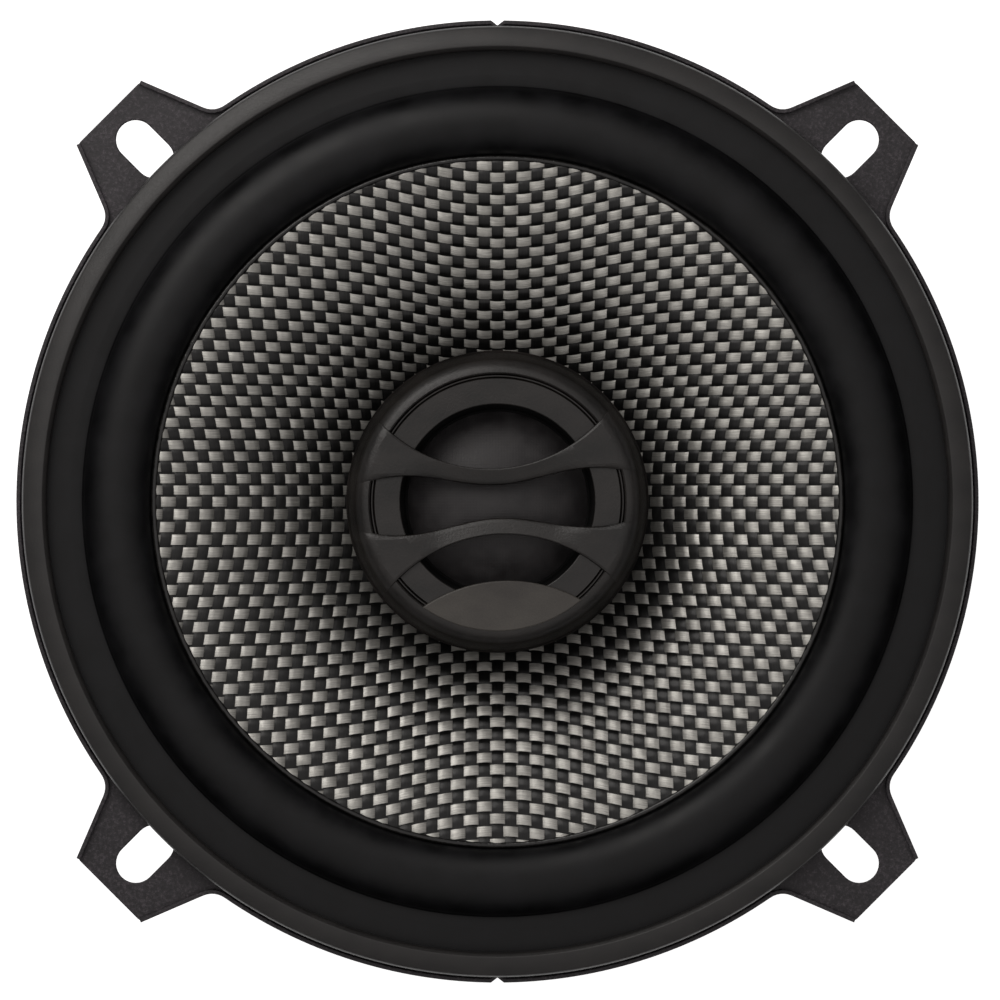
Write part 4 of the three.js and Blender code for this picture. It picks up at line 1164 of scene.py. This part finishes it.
def bar_height(x, y, share):
    """Height of a guard bar's face: it lies on the ring outside the opening and leans inwards across it."""
    blend_start, blend_end = 8.5, 13.3
    radius = math.hypot(x, y)
    on_ring = bezel_height(max(radius, BEZEL_CREST_R)) + 0.25
    over_opening = TWEETER_FRONT_Z + 0.15 - BAR_LEAN * (1 - share)
    blend = min(max((radius - blend_start) / (blend_end - blend_start), 0), 1)
    return over_opening + (on_ring - over_opening) * blend * blend * (3 - 2 * blend)


def guard_bar(flip):
    """A bar ruled between its waved inner edge and its round outer edge, with its rim rounded over."""
    underside, outer_middle = TWEETER_FRONT_Z - 1.8, 4.55
    rims = [(0, 0.30), (0.03, 0.09), (0.09, 0.0)]
    shares = rims + [(0.3, 0), (0.5, 0), (0.7, 0)] + [(1 - share, drop) for share, drop in rims[::-1]]
    spans = [(-1, 0.30), (-0.99, 0.09), (-0.97, 0.0)]
    spans += [(s, 0.0) for s in np.linspace(-0.94, 0.94, 61)] + [(-s, drop) for s, drop in spans[::-1]]
    shape = bmesh.new()
    face, back = [], []
    for share, share_drop in shares:
        def edge(across, share=share):
            return wave_edge(across) * (1 - share) + arc_edge(outer_middle, across) * share
        reach = reach_of(edge, BAR_END_R)
        face.append([])
        back.append([])
        for part, span_drop in spans:
            x = part * reach
            y = edge(abs(x))
            z = bar_height(x, y, share) - max(share_drop, span_drop)
            face[-1].append(shape.verts.new((x * MM, flip * y * MM, z * MM)))
            back[-1].append(shape.verts.new((x * MM, flip * y * MM, underside * MM)))
    for i in range(len(shares) - 1):
        for k in range(len(spans) - 1):
            shape.faces.new([face[i][k], face[i][k + 1], face[i + 1][k + 1], face[i + 1][k]])
            shape.faces.new([back[i][k], back[i + 1][k], back[i + 1][k + 1], back[i][k + 1]])
    loop = [(0, k) for k in range(len(spans))] + [(i, len(spans) - 1) for i in range(1, len(shares))]
    loop += [(len(shares) - 1, k) for k in range(len(spans) - 2, -1, -1)]
    loop += [(i, 0) for i in range(len(shares) - 2, 0, -1)]
    for (i, k), (m, n) in zip(loop, loop[1:] + loop[:1]):
        shape.faces.new([face[i][k], back[i][k], back[m][n], face[m][n]])
    bmesh.ops.recalc_face_normals(shape, faces=shape.faces)
    return finished(shape, "bar", 60)


def badge_outline(radius):
    """The lens-shaped plate between the round arc and the ring."""
    top_middle = 10.9
    end = reach_of(lambda x: arc_edge(top_middle, x), radius)
    points = [(x, -arc_edge(top_middle, x)) for x in np.linspace(-end, end, 41)]
    start = math.atan2(points[-1][1], points[-1][0])
    finish = -math.pi - start
    points += [(radius * math.cos(a), radius * math.sin(a)) for a in np.linspace(start, finish, 41)[1:-1]]
    return points


def build_bezel(plastic, badge_painted_highlight_plastic):
    """Front ring with its crest, double groove and flat inner ring, the two bars and the badge plate."""
    top = TWEETER_FRONT_Z
    crest_radii = (TWEETER_R, 20.8, 20.6, 20.4, 20.2, 20.0, 19.8, 19.6, 19.4, 19.1, 18.7, 18.3,
                   BEZEL_CREST_R)
    crest = [(r, bezel_height(r)) for r in crest_radii]
    groove = [(17.62, top - 0.14), (17.48, top - 0.72), (17.36, top - 0.42), (17.22, top - 0.42),
              (17.10, top - 0.80), (16.92, top - 0.40)]
    mouth = arc(OPENING_R + 0.18, top - 0.62, 0.18, 0.18, 90, 180, 5)
    outline = [(19.2, 56.3), (TWEETER_R, 56.3), *crest, *groove, *mouth,
               (OPENING_R, top - 2.2), (18.0, top - 2.2), (19.2, top - 3.4)]
    ring = lathe(outline, "bezel_ring", 240, sharp_degrees=28)
    mesh = joined([ring, guard_bar(1), guard_bar(-1)], "tweeter_front")
    show("tweeter_front", mesh, plastic, "tweeter_bezel", turn=TWEETER_TURN)
    # The badge plate takes the paler plastic, a painted highlight on the same moulding as the ring.
    badge = plate([badge_outline(17.85)], top - 1.8, top + 0.12, "badge_plate", 0.2)
    show("badge_plate", badge, badge_painted_highlight_plastic, "tweeter_bezel", turn=TWEETER_TURN)


def build_dome(silk, plastic):
    sphere_r = (DOME_R ** 2 + DOME_RISE ** 2) / (2 * DOME_RISE)
    half = math.degrees(math.asin(DOME_R / sphere_r))
    centre_z = DOME_BASE_Z + DOME_RISE - sphere_r
    outer = arc(0, centre_z, sphere_r, sphere_r, 90 - half, 90, 32)
    inner = arc(0, centre_z, sphere_r - 0.3, sphere_r - 0.3, 90, 90 - half, 32)
    mesh = lathe(on_axis(outer + inner), "silk_dome", 128, sharp_degrees=50)
    show("silk_dome", mesh, silk, "tweeter_dome", "dome_assembly", TWEETER_TURN)
    inner_r, outer_r, landing_r = DOME_R + 0.3, DOME_R + 2, 16.4
    middle, radius, base_z = (inner_r + outer_r) / 2, (outer_r - inner_r) / 2, 55.6
    glued_lip = [(DOME_R - 0.15, base_z - 0.6), (DOME_R + 0.15, base_z - 0.5)]
    front = glued_lip + arc(middle, base_z, radius, radius, 178, 2, 20)
    front += [(outer_r + 0.5, base_z), (landing_r, base_z)]
    mesh = lathe(sheet(front, 0.3), "tweeter_roll", 128, sharp_degrees=50)
    # The plastic given here paints shade on the silk roll, and on the mount ring below: both are coloured
    # as dark as the shadow in the recess.
    piece = show("tweeter_roll", mesh, plastic, "tweeter_surround", None, TWEETER_TURN)
    share_by_radius(piece)
    simple_ring("tweeter_faceplate", "tweeter_mount_ring", plastic, 0.25)


def build_tweeter_motor(copper, nickel, steel):
    winding("tweeter_coil", "tweeter_winding", 12, copper, "dome_assembly", 96, 4)
    for node, name, material, slot in (("tweeter_pole_plate", "tweeter_pole_disc", steel, "plated_steel"),
                                       ("tweeter_magnet", "neodymium_disc", nickel, "nickel_plating")):
        radius, low, high = span(node)
        disc = eased([(0, low), (radius, low), (radius, high), (0, high)], 0.25)
        show_turned(name, disc, material, node, 96)
    radius, low, high = span("tweeter_yoke_cup")
    cup = [(0, low), (radius, low), (radius, high), (OPENING_R, high), (OPENING_R, low + 1.5),
           (0, low + 1.5)]
    show_turned("tweeter_pot", eased(cup, 0.4), steel, "tweeter_yoke_cup", 128)


# ---------------------------------------------------------------- terminals and leads


def build_board(laminate, steel):
    half, inner_r, outer_r = 11.5, 33.6, 49.0
    holes = []
    for side, width in ((-1, POSITIVE_WIDTH), (1, NEGATIVE_WIDTH)):
        slot = terminal_box(TAB_LEG_R - GAP, TAB_LEG_R + TAB_THICKNESS + GAP, side * TAB_OFFSET,
                            width / 2 + GAP)
        rivet_at = terminal_point(BOARD_RIVET_R, side * BOARD_RIVET_OFFSET)
        holes += [eased(slot, 0.3, 2), circle(BOARD_RIVET_HOLE_R, rivet_at)]
    edge = eased(terminal_box(inner_r, outer_r, 0, half), 1.2)
    board = plate([edge, *holes], *heights("terminal_board"), "connector_board", 0.1)
    show("connector_board", board, laminate, "terminal_board")
    for index, side in enumerate((-1, 1)):
        node = f"board_rivet_{index + 1}"
        low_z, high_z = heights(node)
        head, head_r, shank_r = 0.8, 2.0, 1.2
        outline = [(0, low_z), *arc(0, low_z + head, head_r, head, -90, 0, 8), (shank_r, low_z + head),
                   (shank_r, high_z - head), *arc(0, high_z - head, head_r, head, 0, 90, 8)]
        centre = terminal_point(BOARD_RIVET_R, side * BOARD_RIVET_OFFSET)
        mesh = lathe(on_axis(outline), "rivet", 40, centre, 40)
        show(f"small_rivet_{index + 1}", mesh, steel, node)


def build_terminal(side, width, node, brass):
    """A spade: blade with a chamfered tip and a latch hole, and a leg bent down through the board."""
    tip_r, chamfer, half = 56.0, 1.3, width / 2
    low, high = heights(node)
    corners = [(TAB_LEG_R, -half), (tip_r - chamfer, -half), (tip_r, -half + chamfer),
               (tip_r, half - chamfer), (tip_r - chamfer, half), (TAB_LEG_R, half)]
    blade = [terminal_point(a, side * TAB_OFFSET + b) for a, b in corners]
    hole = circle(0.85, terminal_point(tip_r - 3.3, side * TAB_OFFSET))
    leg = terminal_box(TAB_LEG_R, TAB_LEG_R + TAB_THICKNESS, side * TAB_OFFSET, half)
    mesh = joined([plate([blade, hole], high - TAB_THICKNESS, high, "blade", 0.14),
                   plate([leg], low, high - 0.05, "leg", 0.12)], node)
    show(f"spade_{node}", mesh, brass, node)


def lead_point(along, across, height):
    return (*terminal_point(along, across), height)


def build_tinsel(side, node, material):
    tab_top = 26.8
    end_r = 44.0
    points = [(13.5, 3 * side, 29.8), (17, 3.6 * side, 31), (24, 5 * side, 31.6), (32, 6.6 * side, 34),
              (38.5, 7.4 * side, 36.8), (42.4, TAB_OFFSET * side, 36), (end_r, TAB_OFFSET * side, 32.5),
              (end_r, TAB_OFFSET * side, tab_top + GAP)]
    route = smooth_route([lead_point(*p) for p in points], 14)
    mesh = tube(route, 0.7, node, 10, strands=3, twist_length=4.5)
    piece = show(f"braided_{node}", mesh, material, node, body=None)
    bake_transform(piece)


def build_tweeter_lead(side, node, material):
    """From the tweeter through the post and the pole, out under the magnet and up to the board."""
    aside = 0.75 * side
    beside_cup = 16.6
    under_cup = (47.8 + heights("tweeter_housing")[0] + 1.6) / 2
    behind_boot = span("magnet_boot")[0] + 0.9
    under_yoke = 1.25
    board_z = heights("terminal_board")[0]
    points = [(beside_cup, 53.7), (beside_cup, under_cup + 2.6), (beside_cup - 0.1, under_cup + 1.5),
              (beside_cup - 0.6, under_cup + 0.5), (beside_cup - 1.7, under_cup + 0.05),
              (beside_cup - 4, under_cup), (3, under_cup), (0.4, under_cup - 1.6), (0, under_cup - 5),
              (0, 22.1), (0, 4.3), (0.8, under_yoke + 0.2), (3, under_yoke), (behind_boot - 3, under_yoke),
              (behind_boot - 0.5, under_yoke + 0.5), (behind_boot, under_yoke + 3),
              (behind_boot, board_z - GAP)]
    route = smooth_route([lead_point(along, aside, z) for along, z in points], 8)
    show(f"insulated_{node}", tube(route, 0.5, node, 14), material, node)


def build_capacitor(sleeve):
    low_corner, high_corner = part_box("crossover_capacitor")
    low, high = low_corner.z / MM, high_corner.z / MM
    centre = ((low_corner.x + high_corner.x) / 2 / MM, (low_corner.y + high_corner.y) / 2 / MM)
    body_r = (high_corner.x - low_corner.x) / 2 / MM
    crimp_r = body_r - 0.5
    crimp = [(body_r, high - 2.6), (crimp_r, high - 2.1), (crimp_r, high - 1.7), (body_r, high - 1.2)]
    outline = [(0, low + 0.25), (body_r - 1.0, low + 0.25), (body_r - 0.8, low), (body_r, low), *crimp,
               (body_r, high), (0, high)]
    show("sleeved_capacitor", lathe(eased(outline, 0.35), "sleeved_capacitor", 64, centre), sleeve,
         "crossover_capacitor")


# ---------------------------------------------------------------- stage


def area_light(name, place, size, power, colour):
    light = bpy.data.lights.new(name, "AREA")
    light.shape = "DISK"
    light.size = size
    light.energy = power
    light.color = colour
    lamp = bpy.data.objects.new(name, light)
    lamp.location = place
    aim = Vector((0, 0, FLANGE_Z * MM)) - Vector(place)
    lamp.rotation_euler = aim.to_track_quat("-Z", "Y").to_euler()
    bpy.context.scene.collection.objects.link(lamp)


def build_stage():
    shape = bmesh.new()
    bmesh.ops.create_grid(shape, x_segments=1, y_segments=1, size=4)
    floor = bpy.data.objects.new("floor", finished(shape, "floor"))
    bpy.context.scene.collection.objects.link(floor)
    paper = Nodes("paper", Roughness=0.9)
    paper.shader.inputs["Base Color"].default_value = (0.85, 0.85, 0.85, 1)
    paper.shader.inputs["Emission Color"].default_value = (1, 1, 1, 1)
    paper.shader.inputs["Emission Strength"].default_value = 0.9
    floor.data.materials.append(paper.material)

    world = bpy.data.worlds.new("studio")
    bpy.context.scene.world = world
    world.use_nodes = True
    tree = world.node_tree
    place = tree.nodes.new("ShaderNodeTexCoord")
    split = tree.nodes.new("ShaderNodeSeparateXYZ")
    ramp = tree.nodes.new("ShaderNodeValToRGB")
    tree.links.new(place.outputs["Generated"], split.inputs[0])
    tree.links.new(split.outputs["Z"], ramp.inputs["Fac"])
    tree.links.new(ramp.outputs["Color"], tree.nodes["Background"].inputs["Color"])
    stripe = ramp.color_ramp.elements
    stripe[0].position, stripe[0].color = 0.05, (0.98, 0.98, 0.98, 1)
    stripe[1].position, stripe[1].color = 1.0, (0.68, 0.655, 0.645, 1)
    dark = (0.03, 0.03, 0.032)
    for height, shade in ((0.07, dark), (0.36, dark), (0.72, (0.40, 0.385, 0.38))):
        stripe.new(height).color = (*shade, 1)

    area_light("key", (-0.11, 0.17, 0.26), 0.22, 0.29, (1.0, 0.97, 0.94))


def build_camera():
    distance = 1.1
    view_width = 0.1383
    aside, up = 0.00035, 0.00021
    camera = bpy.data.cameras.new("camera")
    camera.sensor_width = 36
    camera.lens = camera.sensor_width * distance / view_width
    holder = bpy.data.objects.new("camera", camera)
    holder.location = (aside, up, FLANGE_Z * MM + distance)
    bpy.context.scene.collection.objects.link(holder)
    bpy.context.scene.camera = holder
    bpy.context.scene.view_settings.view_transform = "Standard"


# ---------------------------------------------------------------- the whole speaker


def build_speaker():
    coat = powder_coat()
    satin = moulded_plastic("satin_plastic", (0.006, 0.005, 0.005), (0.015, 0.013, 0.012), 0.25, 0.36, 0.02)
    bezel = moulded_plastic("bezel_plastic", (0.005, 0.0045, 0.004), (0.020, 0.017, 0.0155),
                            0.3, 0.36, 0.04, dull_below=TWEETER_FRONT_Z - 0.7)
    # The badge plate's plastic is the bezel's moulding made paler: its lighter colour is a painted
    # highlight for the light the plate catches.
    badge = moulded_plastic("badge_painted_highlight_plastic", (0.040, 0.035, 0.031), (0.072, 0.065, 0.056), 0.25, 0.42, 0.03)
    # Near-black plastic that paints shade: it colours the tweeter's silk roll and mount ring as dark as the
    # shadowed recess they sit in, and its reflection is dulled too.
    painted_shade = moulded_plastic("painted_shade_plastic", (0.005, 0.005, 0.005), (0.010, 0.010, 0.010), 0.16, 0.7, 0.012,
                           dull_below=TWEETER_FRONT_Z)
    ring_plastic = moulded_plastic("ring_plastic", (0.013, 0.012, 0.012), (0.024, 0.022, 0.021),
                                   0.25, 0.40, 0.016)
    roll = rubber("surround_rubber", (0.0035, 0.0035, 0.004), (0.008, 0.008, 0.009), 0.44, 0.0, 0.27)
    boot = rubber("boot_rubber", (0.010, 0.010, 0.011), (0.026, 0.026, 0.028), 0.62, 0.08)
    steel = metal("zinc_plated_steel", (0.42, 0.41, 0.38), (0.68, 0.67, 0.64), 0.34)
    nickel = metal("nickel_plate", (0.56, 0.53, 0.48), (0.74, 0.71, 0.66), 0.2, relief=0.002)
    brass = metal("tinned_brass", (0.46, 0.34, 0.16), (0.76, 0.60, 0.32), 0.3, (0.6, 0.05))
    copper = metal("enamelled_copper", (0.30, 0.10, 0.035), (0.58, 0.24, 0.10), 0.3, (0.1, 0.4))

    build_basket(coat)
    build_gasket_ring(ring_plastic)
    build_surround(roll)
    build_cone()
    build_spider(spider_cloth())
    build_coil(coil_former_film(), copper)
    build_motor(steel, ferrite_ceramic(), boot)
    build_post(satin, steel)
    build_housing(satin)
    build_bezel(bezel, badge)
    build_dome(dome_silk(), painted_shade)
    build_tweeter_motor(copper, nickel, steel)
    build_board(board_laminate(), steel)
    build_terminal(-1, POSITIVE_WIDTH, "positive_terminal", brass)
    build_terminal(1, NEGATIVE_WIDTH, "negative_terminal", brass)
    build_capacitor(shrink_sleeve())
    tinsel = braid()
    red = insulation("red_insulation", (0.20, 0.010, 0.008), (0.34, 0.022, 0.016))
    black = insulation("black_insulation", (0.008, 0.008, 0.009), (0.022, 0.022, 0.024))
    build_tinsel(-1, "tinsel_lead_positive", tinsel)
    build_tinsel(1, "tinsel_lead_negative", tinsel)
    build_tweeter_lead(-1, "tweeter_lead_positive", red)
    build_tweeter_lead(1, "tweeter_lead_negative", black)


build_speaker()
build_stage()
build_camera()
